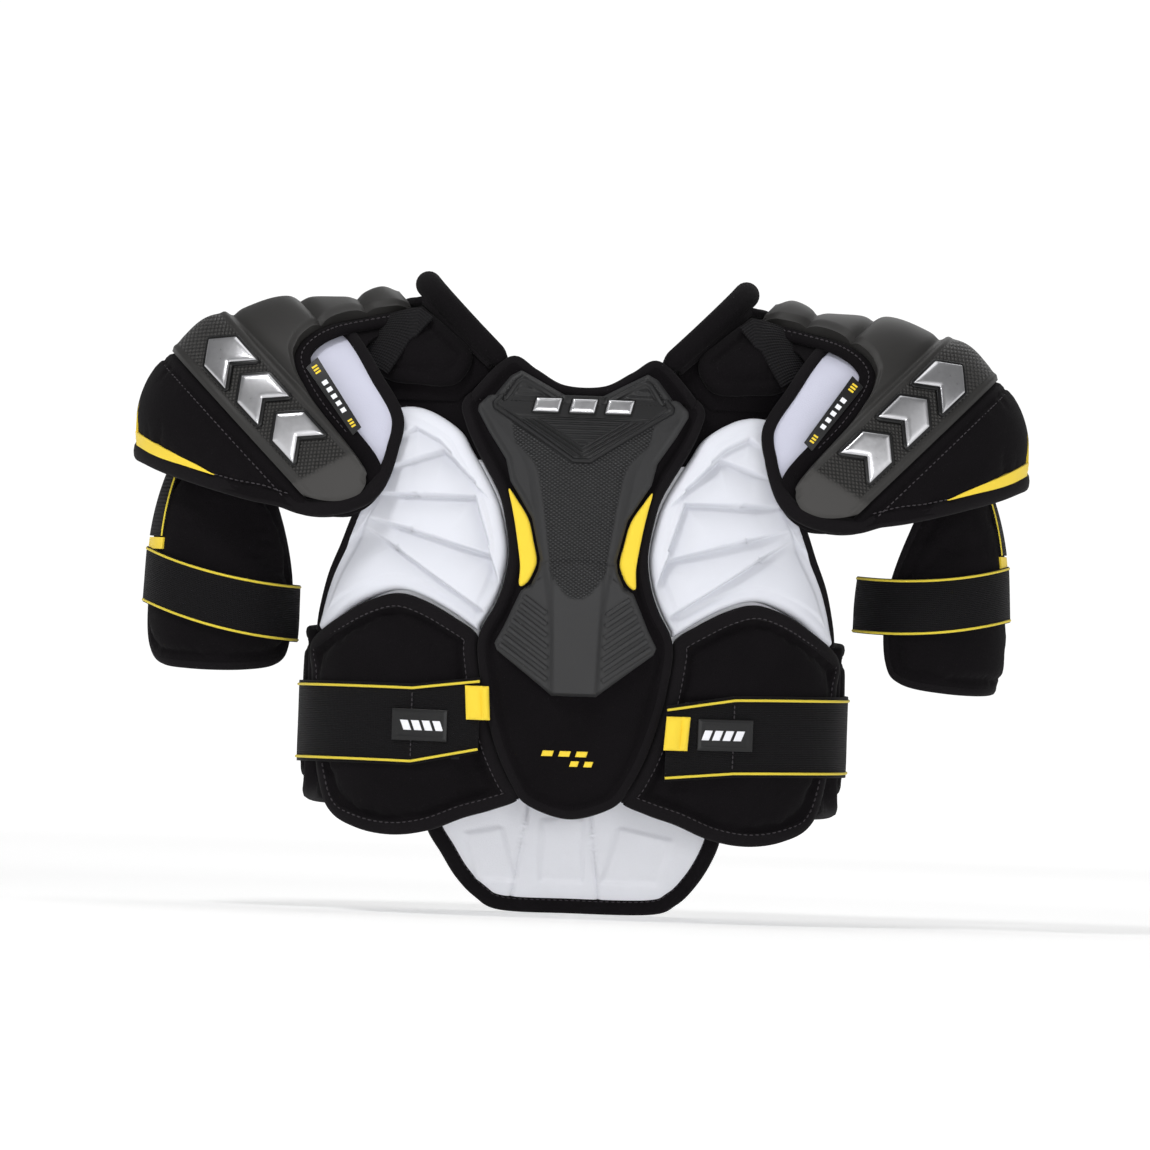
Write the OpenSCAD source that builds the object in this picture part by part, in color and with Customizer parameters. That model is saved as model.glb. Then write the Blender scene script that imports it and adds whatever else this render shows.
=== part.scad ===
// Ice hockey shoulder pads: a padded torso harness with two hinged shoulder caps, two hanging arm
// guards and hook-and-loop straps. The front faces -Y, the wearer's left is +X and Z is up.
// The origin is on the ground plane, below the middle of the part.

/* [Torso] */
// Half width of the torso inside the pads, at the ribs
torso_half_width = 181; // [179:1:183]
// Depth from the middle to the inside of the chest pads
chest_depth = 107; // [103:1:111]
// Depth from the middle to the inside of the back pads
back_depth = 107; // [103:1:110]
// Height of the shoulders inside the pads
shoulder_height = 440; // [437:1:443]
// Height where the chest ends and the shoulder arch begins
arch_height = 368; // [366:1:371]

/* [Pads] */
// Thickness of the liners
liner_thickness = 1.3; // [1:0.1:1.5]
// Thickness of the chest and back pads at their middle
pad_thickness = 11.5; // [10:0.5:13]
// Thickness of the sternum and spine pads at their middle
centre_pad_thickness = 16; // [15:0.5:16]
// Radius of the collar roll
collar_radius = 8; // [6:0.5:8]

/* [Shoulder caps] */
// Distance from the middle to the inner lower corner of a cap
cap_corner_x = 146.5; // [146:0.5:149]
// Height of the inner lower corner of a cap
cap_corner_z = 296.5; // [295:0.5:299]
// Slope of a cap's band against the horizontal, in degrees
cap_slope = 45.5; // [45:0.5:46.5]
// Thickness of the moulded foam of a cap
cap_thickness = 8; // [6:0.5:8]

/* [Arm guards] */
// Distance from the middle to the axis of an arm guard
arm_x = 257; // [255:0.5:259]
// Thickness of an arm guard
guard_thickness = 11; // [8:0.5:11]
// Direction that the wearer's right arm guard faces, in degrees from the front
right_guard_turn = 5; // [0:1:12]
// Direction that the wearer's left arm guard faces, in degrees from the front
left_guard_turn = 43; // [35:1:48]
// Height of the elastic of the arm straps
arm_strap_width = 39; // [36:1:42]

/* [Belly straps] */
// Height of the elastic of the belly straps
belly_strap_width = 58; // [50:1:60]
// Thickness of all elastic straps
elastic_thickness = 2.5; // [1.5:0.5:2.5]

/* [Hidden] */
left = 1;
right = -1;
gap = 0.5; // clearance between layers that are sewn or stuck together
pad_base = liner_thickness + 1.3; // where pads start, above the liner
pad_top = pad_base + pad_thickness;
centre_top = pad_base + centre_pad_thickness;
plate_base = centre_top + gap;
torso_power = 2.5; // squareness of the torso's cross-section
cap_power = 2.4; // squareness of a cap's cross-section
fine_rings = [0.3, 0.6, 0.85, 1]; // where a pad that lies on a bent form has its rows of points
black = [0.06, 0.06, 0.07];
charcoal = [0.16, 0.16, 0.17];
white = [0.9, 0.9, 0.92];
yellow = [0.95, 0.8, 0.1];
chrome = [0.75, 0.75, 0.78];

// ---- Curves ----

// Value of a smooth curve through the list p at step i plus fraction f, with p0 to p3 its neighbours
function blend4(p0, p1, p2, p3, f) =
    0.5 * (2 * p1 + (p2 - p0) * f + (2 * p0 - 5 * p1 + 4 * p2 - p3) * f * f
    + (3 * p1 - p0 - 3 * p2 + p3) * f * f * f);
// Smooth open curve through the list p, at t from 0 to 1
function curve(p, t) =
    let (n = len(p) - 1, s = min(max(t, 0), 1) * n, i = min(floor(s), n - 1))
    blend4(p[max(i - 1, 0)], p[i], p[i + 1], p[min(i + 2, n)], s - i);
// Smooth closed outline through the list p, with m points for each of its points
function outline(p, m = 2) =
    let (n = len(p))
    [for (i = [0 : n - 1]) for (j = [0 : m - 1])
        blend4(p[(i + n - 1) % n], p[i], p[(i + 1) % n], p[(i + 2) % n], j / m)];
// Straight-sided outline through the list p, with m points along each side
function corners(p, m = 2) =
    let (n = len(p))
    [for (i = [0 : n - 1]) for (j = [0 : m - 1]) p[i] + (p[(i + 1) % n] - p[i]) * j / m];
// Both halves of an outline that is the same on each side of x = 0, from its half on the +x side
function mirrored(half) =
    concat(half, [for (i = [len(half) - 1 : -1 : 0]) if (half[i][0] > 0.1) [-half[i][0], half[i][1]]]);
// Height of a profile listed as [position, value] pairs in rising position
function profile(p, at) =
    let (i = max([for (k = [0 : len(p) - 2]) if (k == 0 || at >= p[k][0]) k]),
        f = min(max((at - p[i][0]) / (p[i + 1][0] - p[i][0]), 0), 1))
    p[i][1] + (p[i + 1][1] - p[i][1]) * f * f * (3 - 2 * f);

// ---- Forms: surfaces that the pads are shaped on, as base point and outward offset ----

step = 0.4; // step of the slopes that give each form's normal
function push(base, a, b, off) =
    let (c = cross(base(a + step, b) - base(a - step, b), base(a, b + step) - base(a, b - step)))
    base(a, b) + c / norm(c) * off;

function half_width(z) =
    torso_half_width - 0.0022 * pow(max(110 - z, 0), 2) - 0.0012 * pow(max(z - 260, 0), 2);
function front_depth(z) = chest_depth - 0.0003 * pow(max(240 - z, 0), 2) - 0.001 * pow(max(z - 240, 0), 2);
function rear_depth(z) = back_depth - 0.0004 * pow(max(z - 200, 0), 2);
function shoulder_top(x) = shoulder_height - 0.75 * pow(max(abs(x) - 117, 0), 1.1);
function roundness(x, z) = pow(1 - pow(min(abs(x) / half_width(z), 0.999), torso_power), 1 / torso_power);
function arch_angle(x, z) = asin(min((z - arch_height) / (shoulder_top(x) - arch_height), 0.999));

// Front of the torso at x and height z
front_base = function (x, z) z <= arch_height
    ? [x, -front_depth(z) * roundness(x, z), z]
    : [x, -front_depth(arch_height) * roundness(x, arch_height) * cos(arch_angle(x, z)), z];
front = function (x, z, off) push(front_base, x, z, off);
// Back of the torso, with p growing towards the wearer's right
rear_base = function (p, z) z <= arch_height
    ? [-p, rear_depth(z) * roundness(p, z), z]
    : [-p, rear_depth(arch_height) * roundness(p, arch_height) * cos(arch_angle(p, z)), z];
rear = function (p, z, off) push(rear_base, p, z, off);
// Once round the torso on the +x side, from the front (0 degrees) by the side (90) to the back (180)
ring_base = function (angle, z) [
    half_width(z) * pow(abs(sin(angle)), 2 / torso_power),
    cos(angle) > 0 ? -front_depth(z) * pow(cos(angle), 2 / torso_power)
        : rear_depth(z) * pow(-cos(angle), 2 / torso_power),
    z];
ring = function (angle, z, off) push(ring_base, angle, z, off);
// Over the shoulder at x, from the front (0 degrees) by the top (90) to the back (180)
yoke_base = function (x, angle)
    let (depth = angle < 90 ? front_depth(arch_height) : rear_depth(arch_height),
        reach = roundness(x, arch_height) * depth)
    [x, -reach * cos(angle), arch_height + (shoulder_top(x) - arch_height) * sin(angle)];
yoke = function (x, angle, off) push(yoke_base, x, angle, off);

// Shoulder cap: s runs down and outwards across the bands, angle runs from the front over the top
cap_height = [[-120, 100], [-103, 114], [-84, 120], [-50, 151], [-14, 170], [0, 179], [24, 181],
    [41, 178], [60, 175], [82, 164], [106, 141]];
cap_reach = [[-120, 50], [-90, 84], [-64, 104], [-36, 109], [0, 109], [36, 107], [62, 100],
    [84, 88], [106, 64]];
cap_base = function (s, angle)
    let (t = profile(cap_height, s) * pow(abs(sin(angle)), 2 / cap_power),
        y = -profile(cap_reach, s) * sign(cos(angle)) * pow(abs(cos(angle)), 2 / cap_power))
    [cap_corner_x + s * sin(cap_slope) + t * cos(cap_slope), y,
        cap_corner_z - s * cos(cap_slope) + t * sin(cap_slope)];
cap = function (s, angle, off) push(cap_base, s, angle, off);
// Angle at which the cap's surface stands t above its lower corner line
function cap_angle(s, t) = asin(pow(min(max(t, 0) / profile(cap_height, s), 1), cap_power / 2));

// Inside of an arm guard, with the angle from the front towards the outer side
arm_half_x = [[160, 33], [182, 40.5], [222, 43], [262, 40], [300, 33], [350, 20]];
arm_half_y = [[160, 38], [182, 45], [222, 49], [262, 47], [300, 41], [350, 28]];
arm_lean = [[160, 0], [225, 0], [310, -2], [350, -12]];
arm_base = function (angle, z) [
    arm_x + profile(arm_lean, z) + profile(arm_half_x, z) * sin(angle),
    -profile(arm_half_y, z) * cos(angle),
    z];
arm = function (angle, z, off) push(arm_base, angle, z, off);

// ---- Solids ----

module on_side(side) {
    if (side > 0) children();
    else mirror([1, 0, 0]) children();
}

function flat(rows) = [for (row = rows) for (p = row) p];
// Two triangles of a face, from its corners in clockwise order seen from outside
function quad(a, b, c, d) = [[a, b, c], [a, c, d]];

// Closed solid between two grids of points, rows by columns, each of the same size
module sheet_solid(outer, inner) {
    rows = len(outer);
    cols = len(outer[0]);
    last = cols - 1;
    end = rows - 1;
    at = function (layer, i, j) layer * rows * cols + i * cols + j;
    faces = concat(
        [for (i = [0 : rows - 2]) for (j = [0 : cols - 2])
            each quad(at(0, i, j), at(0, i, j + 1), at(0, i + 1, j + 1), at(0, i + 1, j))],
        [for (i = [0 : rows - 2]) for (j = [0 : cols - 2])
            each quad(at(1, i, j), at(1, i + 1, j), at(1, i + 1, j + 1), at(1, i, j + 1))],
        [for (i = [0 : rows - 2])
            each quad(at(1, i, 0), at(0, i, 0), at(0, i + 1, 0), at(1, i + 1, 0))],
        [for (i = [0 : rows - 2])
            each quad(at(1, i, last), at(1, i + 1, last), at(0, i + 1, last), at(0, i, last))],
        [for (j = [0 : cols - 2])
            each quad(at(1, 0, j), at(1, 0, j + 1), at(0, 0, j + 1), at(0, 0, j))],
        [for (j = [0 : cols - 2])
            each quad(at(1, end, j), at(0, end, j), at(0, end, j + 1), at(1, end, j + 1))]);
    polyhedron(points = concat(flat(outer), flat(inner)), faces = faces, convexity = 6);
}

// Sheet on a form: u over a list, v from 0 to 1 in the given steps, placed by place(u, v)
module sheet(form, us, steps, place, low, high) {
    vs = [for (k = [0 : steps]) k / steps];
    sheet_solid([for (u = us) [for (v = vs) let (q = place(u, v)) form(q[0], q[1], high)]],
        [for (u = us) [for (v = vs) let (q = place(u, v)) form(q[0], q[1], low)]]);
}

// Padded solid on a form, inside a closed outline, from low to a crown of high, edge thick at its rim
module pad(form, edge_line, centre, low, high, edge, rings = [0.45, 0.8, 1]) {
    n = len(edge_line);
    crown = function (r) low + edge + (high - low - edge) * (1 - pow(r, 4));
    spot = function (r, k) centre + (edge_line[k] - centre) * r;
    layer = function (height) concat([form(centre[0], centre[1], height(0))],
        [for (r = rings) for (k = [0 : n - 1]) let (q = spot(r, k)) form(q[0], q[1], height(r))]);
    top = layer(crown);
    bottom = layer(function (r) low);
    at = function (side, ring, k) side * len(top) + 1 + ring * n + k % n;
    faces = concat(
        [for (k = [0 : n - 1]) [0, at(0, 0, k + 1), at(0, 0, k)]],
        [for (k = [0 : n - 1]) [len(top), at(1, 0, k), at(1, 0, k + 1)]],
        [for (i = [0 : len(rings) - 2]) for (k = [0 : n - 1])
            each quad(at(0, i, k), at(0, i, k + 1), at(0, i + 1, k + 1), at(0, i + 1, k))],
        [for (i = [0 : len(rings) - 2]) for (k = [0 : n - 1])
            each quad(at(1, i, k), at(1, i + 1, k), at(1, i + 1, k + 1), at(1, i, k + 1))],
        [for (k = [0 : n - 1]) let (i = len(rings) - 1)
            each quad(at(1, i, k), at(0, i, k), at(0, i, k + 1), at(1, i, k + 1))]);
    polyhedron(points = concat(top, bottom), faces = faces, convexity = 6);
}

// Round bar along a path of [point, normal] pairs
module bar(path, radius, sides = 8) {
    n = len(path);
    rings = [for (i = [0 : n - 1])
        let (t = path[min(i + 1, n - 1)][0] - path[max(i - 1, 0)][0],
            b = cross(t, path[i][1]) / norm(cross(t, path[i][1])),
            up = cross(b, t) / norm(cross(b, t)))
        [for (k = [0 : sides - 1]) let (turn = 360 * k / sides)
            path[i][0] + radius * (cos(turn) * b + sin(turn) * up)]];
    faces = concat(
        [[for (k = [0 : sides - 1]) k]],
        [[for (k = [sides - 1 : -1 : 0]) (n - 1) * sides + k]],
        [for (i = [0 : n - 2]) for (k = [0 : sides - 1]) let (l = (k + 1) % sides)
            each quad(i * sides + k, (i + 1) * sides + k, (i + 1) * sides + l, i * sides + l)]);
    polyhedron(points = flat(rings), faces = faces, convexity = 6);
}

// ---- Outlines, in millimetres: x and height on the front, p and height on the back ----

sternum_edge = mirrored([[0, 73], [29.6, 82], [41.3, 97], [52.5, 121.5], [61, 150.5], [64.5, 169],
    [67.3, 190.5], [65.3, 205], [56.5, 222], [50.5, 240], [48, 262], [52.5, 289], [57, 303], [64.5, 317],
    [73.5, 333], [81, 350], [83, 364], [70, 381], [51, 395], [34, 387.5], [14, 379]]);
plate_edge = mirrored([[15.6, 160], [54.3, 191], [56, 196], [50, 208], [43.3, 224], [39, 234], [33, 237],
    [28, 248], [26.8, 256], [29.6, 268], [33.4, 284], [42, 298], [49, 309], [52.5, 324], [64.5, 342.5],
    [72.5, 357], [72, 361], [51, 382.5], [44, 385.5], [13.5, 373]]);
badge_edge = mirrored([[6.5, 321.5], [62, 358], [62.5, 362], [47, 380], [42, 382.5], [13, 370.5]]);
insert_edge = [[50, 304], [44, 296.5], [35.6, 283], [31.4, 267], [29, 256], [30, 249.5], [35, 239.5],
    [40.5, 237.5], [40.5, 252], [44, 275], [47, 290]];
chest_edge = [[69.5, 204.5], [86, 215.5], [104, 225.5], [121, 231], [136, 228.5], [156, 217.5],
    [174.5, 198.5], [173, 215], [168, 240], [160.5, 262], [153.5, 283], [144, 304], [137, 326], [134, 345],
    [131, 358], [119, 361], [104, 357], [86, 345], [77, 331], [67.5, 315], [60, 301], [55, 287], [50.5, 262],
    [53, 241], [59, 223.5], [67, 208.5]];
rib_edge = [[37, 86.5], [55, 78], [75, 71.5], [98, 62], [122, 58], [145, 62], [163, 74], [171, 100],
    [174.5, 140], [176, 170], [176, 192], [155, 213.5], [136, 224.5], [121, 227], [104, 221.5], [86, 211.5],
    [71, 201], [70, 190], [67, 168], [63.5, 150], [55, 121], [44.5, 98.5]];
clavicle_edge = [[80, 24], [90, 9], [115, 8], [136, 13], [148, 30], [143, 46], [133, 58], [123, 60],
    [111, 50], [96, 38]];
webbing_edge = [[107, 41], [132, 14], [149, 30], [130, 56]];
back_edge = [[50, 214], [100, 210], [150, 212], [160, 222], [156, 258], [147, 293], [136, 322], [131, 354],
    [112, 362], [84, 360], [66, 352], [54, 316], [48, 278], [48, 238]];
wing_edge = [[78.5, 104], [87, 84], [118, 76], [146, 82], [158, 108], [159, 158], [156, 196], [120, 202],
    [85, 200], [78, 186], [77.5, 140]];
spine_edge = mirrored([[0, 98], [28, 102], [40, 118], [44, 148], [42, 198], [41, 248], [44, 308], [54, 350],
    [64, 366], [50, 376], [28, 372], [12, 366]]);
spine_plate_edge = mirrored([[12, 116], [30, 138], [32, 188], [30, 248], [33, 308], [44, 348], [46, 362],
    [20, 322]]);
tail_edge = [[0, 0], [48, 1], [66, 10], [80, 24], [91, 41], [101, 57], [106, 76], [98, 90], [72, 96],
    [40, 97.5], [-40, 97.5], [-72, 96], [-98, 88], [-108, 74], [-108, 57], [-102, 40], [-92, 23], [-79, 9],
    [-60, 1]];
guard_edge = [[-84, 192], [-70, 178], [-30, 172.5], [20, 172], [62, 176], [84, 191], [90, 222], [85, 262],
    [66, 302], [44, 330], [10, 340], [-26, 334], [-52, 310], [-74, 272], [-85, 232]];

// ---- Front ----

front_liner_half = [[88, 160], [180, 170], [215, 166], [290, 140], [358, 132]];
module front_liner() {
    color(black) sheet(front, [for (z = [88 : 30 : 358]) z, 366], 14,
        function (z, v) [profile(front_liner_half, z) * (2 * v - 1), z], 0, liner_thickness);
}
module sternum_pad() {
    color(black) pad(front, outline(sternum_edge), [0, 262], pad_base, centre_top, 14, fine_rings);
}
module sternum_plate() {
    color(charcoal) pad(front, corners(plate_edge), [0, 262], plate_base, plate_base + 6, 4, fine_rings);
}
module neck_badge() {
    color(black) pad(front, corners(badge_edge), [0, 352], plate_base + 6.3, plate_base + 9, 2, [0.6, 1]);
}
// Three small plain bars in a row on the badge
module badge_trim() {
    color(chrome) for (x = [-24, 0, 24])
        sheet(front, [356, 365], 2, function (z, v) [x + 18 * (v - 0.5) + 0.4 * (z - 360), z],
            plate_base + 9.2, plate_base + 11);
}
module sternum_insert(side) {
    color(yellow) on_side(side)
        pad(front, outline(insert_edge), [37.5, 264], centre_top + gap, centre_top + 3, 1.5, [0.6, 1]);
}
module chest_pad(side) {
    color(white) on_side(side) pad(front, outline(chest_edge), [108, 285], pad_base, pad_top, 8, fine_rings);
}
module rib_pad(side) {
    color(black) on_side(side) pad(front, outline(rib_edge), [120, 145], pad_base, pad_top, 9, fine_rings);
}
belly_strap_z = 135;
module rib_loop_patch(side) {
    color(charcoal) on_side(side) sheet(front, [112, 135, 158], 12, function (z, v) [78 + 78 * v, z],
        pad_top + 0.3, pad_top + 1.1);
}

// ---- Shoulders ----

module clavicle_pad(side) {
    color(black) on_side(side) pad(yoke, outline(clavicle_edge), [118, 34], 6.5, 16, 5);
}
module yoke_pad(side) {
    color(black) on_side(side) sheet(yoke, [0.5, for (a = [8 : 12 : 164]) a, 173], 5,
        function (a, v) let (neck = max(90 - 80 * sin(a), 38 + 84 * sin(a))) [neck + (150.5 - neck) * v, a],
        0, 5);
}
module yoke_webbing(side) {
    color(charcoal) on_side(side) sheet(yoke, [for (k = [0 : 4]) k / 4], 4,
        function (u, v) let (q = webbing_edge)
            (q[0] * (1 - u) + q[1] * u) * (1 - v) + (q[3] * (1 - u) + q[2] * u) * v,
        17.5, 19.5);
}
// Padded roll round the neck, from beside the sternum pad over the shoulder to beside the spine pad
module collar_roll(side) {
    color(black) on_side(side) bar([for (a = [21 : 10.6 : 159])
        let (x = 29 + 86 * sin(a), p = yoke(x, a, collar_radius + 3)) [p, p - yoke(x, a, 0)]], collar_radius);
}

// ---- Back ----

module back_liner() {
    color(white) sheet(rear, [for (z = [98 : 30 : 368]) z], 14,
        function (z, v) [profile([[98, 134], [215, 134], [290, 130], [368, 118]], z) * (2 * v - 1), z],
        0, liner_thickness);
}
module spine_pad() {
    color(black) pad(rear, outline(spine_edge), [0, 240], pad_base, centre_top, 13, fine_rings);
}
module spine_plate() {
    color(charcoal) pad(rear, corners(spine_plate_edge, 3), [0, 240], centre_top + gap, centre_top + 5, 3);
}
module back_pad(side) {
    color(black) on_side(-side) pad(rear, outline(back_edge), [104, 286], pad_base, pad_top, 8, fine_rings);
}
module side_wing(side) {
    color(black) on_side(side)
        pad(ring, outline(wing_edge), [116, 138], pad_base + 0.3, pad_top, 8, [0.2, 0.4, 0.6, 0.8, 1]);
}
module tail_pad() {
    color(white) pad(rear, outline(tail_edge), [0, 60], 0, 10, 7);
}
// Webbing loop on the back below the collar, for a hook
loop_radius = 4;
module hang_loop() {
    color(black) translate([0, rear_depth(346) + centre_top + 0.9 + loop_radius, 336]) rotate([0, -90, 0])
        linear_extrude(14, center = true) difference() {
            hull() for (h = [0, 26]) translate([h, 0]) circle(loop_radius, $fn = 24);
            hull() for (h = [0, 26]) translate([h, 0]) circle(loop_radius - 1.4, $fn = 24);
        }
}

// ---- Belly straps ----

strap_low = pad_top + 0.3 + 0.8 + 1; // the elastic lies on the loop patch
strap_high = strap_low + elastic_thickness;
module belly_strap(side) {
    angles = [for (x = [65, 80, 95, 110, 125, 139, 151, 162])
        asin(pow(x / torso_half_width, torso_power / 2))];
    color(black) on_side(side) sheet(ring, concat(angles, [68, 74, 80, 86, 92, 98, 106, 114]), 2,
        function (a, v) [a, belly_strap_z + belly_strap_width * (v - 0.5)], strap_low, strap_high);
}
module belly_tab(side) {
    x = side > 0 ? 66 : 54;
    low = side > 0 ? 124 : 138;
    color(yellow) on_side(side) sheet(front, [low, low + 12, low + 24], 3, function (z, v) [x + 17 * v, z],
        strap_high + gap, strap_high + gap + 2);
}
module belly_label(side) {
    color(charcoal) on_side(side) sheet(front, [124, 147], 4, function (z, v) [86 + 36 * v, z],
        strap_high + gap, strap_high + gap + 0.8);
}

// ---- Shoulder caps ----

// Lower edges of the cap's layers: how far each starts above the corner line, along s
hem = [[-74, 102], [-71, 84], [-65, 63], [-57, 38], [-46, 24], [-22, 9], [-2, 2.5], [15, 6], [32, 16],
    [44, 28], [53, 44], [66, 62], [84, 93], [98, 120], [105, 140]];
shell_front = [[-118, 84], [-85, 108], [-67, 118], [-49, 123], [-34, 122], [-24, 115], [-17, 98],
    [-12.5, 70], [-10.5, 40], [-8.5, 24], [-4, 15.5], [4, 10.5], [17, 13.5], [30, 25], [38, 37]];
module cap_layer(ss, edge, low, high, steps) {
    sheet(cap, ss, steps,
        function (s, v) let (a = cap_angle(s, profile(edge, s))) [s, a + (180 - 2 * a) * v], low, high);
}
module cap_shell(side) {
    color(charcoal) on_side(side)
        cap_layer([-113, -100, -85, -67, -50, -36, -26, -19, -14, -10, -6, 4, 17, 30, 37],
            shell_front, -cap_thickness, 0, 16);
}
module cap_skirt(side) {
    color(black) on_side(side) cap_layer([38.2, 48, 59, 70, 81, 92, 102], hem, -cap_thickness, 0, 16);
}
module cap_insert(side) {
    color(white) on_side(side) cap_layer([-8, 6, 20, 34, 48, 62], [for (p = hem) [p[0], p[1] + 20]],
        -cap_thickness - 4, -cap_thickness - 1.5, 16);
}
module cap_liner(side) {
    color(white) on_side(side) cap_layer([-73, -69, -63, -54, -42, -26, -6, 14, 32, 50, 66, 80], hem,
        -cap_thickness - 9.5, -cap_thickness - 5.5, 16);
}
// Raised plain chevrons along the band of the cap
module cap_emblem(side) {
    color(chrome) on_side(side) for (t = [58, 95, 130])
        sheet(cap, [-3, 4.5, 12, 19.5, 27], 3,
            function (s, v) [s, cap_angle(s, t + 22 * v + 12 - abs(s - 12) * 0.8)], 0.9, 3.3);
}
module cap_label(side) {
    color(black) on_side(side) sheet(cap, [for (k = [0 : 4]) k / 4], 2,
        function (u, v) let (t = 46 + 58 * u, s = -28 - 9 * u + 8 * v) [s, cap_angle(s, t)],
        -cap_thickness - 4.8, -cap_thickness - 4);
}

// ---- Arm guards ----

function guard_turn(side) = side > 0 ? left_guard_turn : right_guard_turn;
function arm_strap_z(side) = side > 0 ? 234 : 221;
function arm_strap_rise(side) = side > 0 ? 5.5 : 12;
function webbing_angle(side) = side > 0 ? 80 : 68;
function tab_z(side) = arm_strap_z(side) + arm_strap_rise(side) + arm_strap_width / 2 + 1;
arm_strap_low = guard_thickness + gap + 0.5;
module arm_guard(side) {
    color(black) on_side(side) pad(arm, [for (q = outline(guard_edge)) q + [guard_turn(side), 0]],
        [guard_turn(side), 245], 0, guard_thickness, 7, fine_rings);
}
module arm_strap_part(side, from, to, count) {
    color(black) on_side(side) sheet(arm, [for (k = [0 : count]) from + (to - from) * k / count], 2,
        function (a, v) [a, arm_strap_z(side) + arm_strap_rise(side) * sin(a) + arm_strap_width * (v - 0.5)],
        arm_strap_low, arm_strap_low + elastic_thickness);
}
module arm_strap_flap(side) { arm_strap_part(side, -84, 88, 12); }
module arm_strap_back(side) { arm_strap_part(side, 90, 274, 12); }
module arm_webbing(side) {
    low = guard_thickness + gap;
    color(charcoal) on_side(side) sheet(arm, [for (k = [0 : 4]) tab_z(side) + 9 + 15 * k], 2,
        function (z, v) [webbing_angle(side) - 15 + 30 * v, z], low, low + 2);
}
module arm_tab(side) {
    low = guard_thickness + gap;
    color(yellow) on_side(side) sheet(arm, [tab_z(side), tab_z(side) + 8], 2,
        function (z, v) [webbing_angle(side) - 16 + 32 * v, z], low, low + 1.5);
}

// ---- Nodes ----

front_liner();
sternum_pad();
sternum_plate();
neck_badge();
badge_trim();
sternum_insert(left);  // left_sternum_insert
sternum_insert(right);  // right_sternum_insert
chest_pad(left);  // left_chest_pad
chest_pad(right);  // right_chest_pad
rib_pad(left);  // left_rib_pad
rib_pad(right);  // right_rib_pad
rib_loop_patch(left);  // left_rib_loop_patch
rib_loop_patch(right);  // right_rib_loop_patch
clavicle_pad(left);  // left_clavicle_pad
clavicle_pad(right);  // right_clavicle_pad
collar_roll(left);  // left_collar_roll
collar_roll(right);  // right_collar_roll
yoke_pad(left);  // left_yoke_pad
yoke_pad(right);  // right_yoke_pad
yoke_webbing(left);  // left_yoke_webbing
yoke_webbing(right);  // right_yoke_webbing
back_liner();
spine_pad();
spine_plate();
back_pad(left);  // left_back_pad
back_pad(right);  // right_back_pad
side_wing(left);  // left_side_wing
side_wing(right);  // right_side_wing
tail_pad();
hang_loop();
belly_strap(left);  // left_belly_strap
belly_strap(right);  // right_belly_strap
belly_tab(left);  // left_belly_tab
belly_tab(right);  // right_belly_tab
belly_label(left);  // left_belly_label
belly_label(right);  // right_belly_label
cap_liner(left);  // left_cap_liner
cap_liner(right);  // right_cap_liner
cap_insert(left);  // left_cap_insert
cap_insert(right);  // right_cap_insert
cap_shell(left);  // left_cap_shell
cap_shell(right);  // right_cap_shell
cap_skirt(left);  // left_cap_skirt
cap_skirt(right);  // right_cap_skirt
cap_emblem(left);  // left_cap_emblem
cap_emblem(right);  // right_cap_emblem
cap_label(left);  // left_cap_label
cap_label(right);  // right_cap_label
arm_guard(left);  // left_arm_guard
arm_guard(right);  // right_arm_guard
arm_webbing(left);  // left_arm_webbing
arm_webbing(right);  // right_arm_webbing
arm_tab(left);  // left_arm_tab
arm_tab(right);  // right_arm_tab
arm_strap_back(left);  // left_arm_strap_back
arm_strap_back(right);  // right_arm_strap_back
arm_strap_flap(left);  // left_arm_strap_flap
arm_strap_flap(right);  // right_arm_strap_flap
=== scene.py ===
"""Looks of the ice hockey shoulder pads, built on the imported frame.
Lengths are millimetres, and metres on the stage."""
import math

import bmesh
import bpy
import numpy as np
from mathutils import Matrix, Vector
from mathutils.kdtree import KDTree


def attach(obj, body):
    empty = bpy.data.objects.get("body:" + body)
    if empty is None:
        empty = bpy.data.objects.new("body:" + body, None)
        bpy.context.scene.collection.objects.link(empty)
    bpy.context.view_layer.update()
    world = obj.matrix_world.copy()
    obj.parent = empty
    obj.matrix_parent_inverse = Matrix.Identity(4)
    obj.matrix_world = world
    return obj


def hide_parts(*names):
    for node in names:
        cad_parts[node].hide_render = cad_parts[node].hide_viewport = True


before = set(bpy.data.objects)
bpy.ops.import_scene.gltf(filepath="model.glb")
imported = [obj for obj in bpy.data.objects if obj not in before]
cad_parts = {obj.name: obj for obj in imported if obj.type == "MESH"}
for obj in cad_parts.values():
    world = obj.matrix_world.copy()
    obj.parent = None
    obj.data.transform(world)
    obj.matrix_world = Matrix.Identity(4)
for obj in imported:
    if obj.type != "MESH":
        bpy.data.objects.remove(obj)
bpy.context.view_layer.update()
MM = 0.001
LEFT, RIGHT = 1, -1
SIDES = ((LEFT, "left"), (RIGHT, "right"))


# ---- Forms: the same surfaces that the solids are shaped on ----

TORSO_POWER, CAP_POWER = 2.5, 2.4
ARCH = 368.0


def table(rows, x):
    """Smooth curve through [position, value] rows, at x."""
    xs, ys = np.array(rows, float).T
    slope = np.gradient(ys, xs)
    x = np.clip(np.asarray(x, float), xs[0], xs[-1])
    i = np.clip(np.searchsorted(xs, x, "right") - 1, 0, len(xs) - 2)
    w = xs[i + 1] - xs[i]
    f = (x - xs[i]) / w
    return (ys[i] * (1 + 2 * f) * (1 - f) ** 2 + slope[i] * w * f * (1 - f) ** 2
            + ys[i + 1] * f * f * (3 - 2 * f) + slope[i + 1] * w * f * f * (f - 1))


def over(v):
    return np.maximum(v, 0.0)


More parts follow.
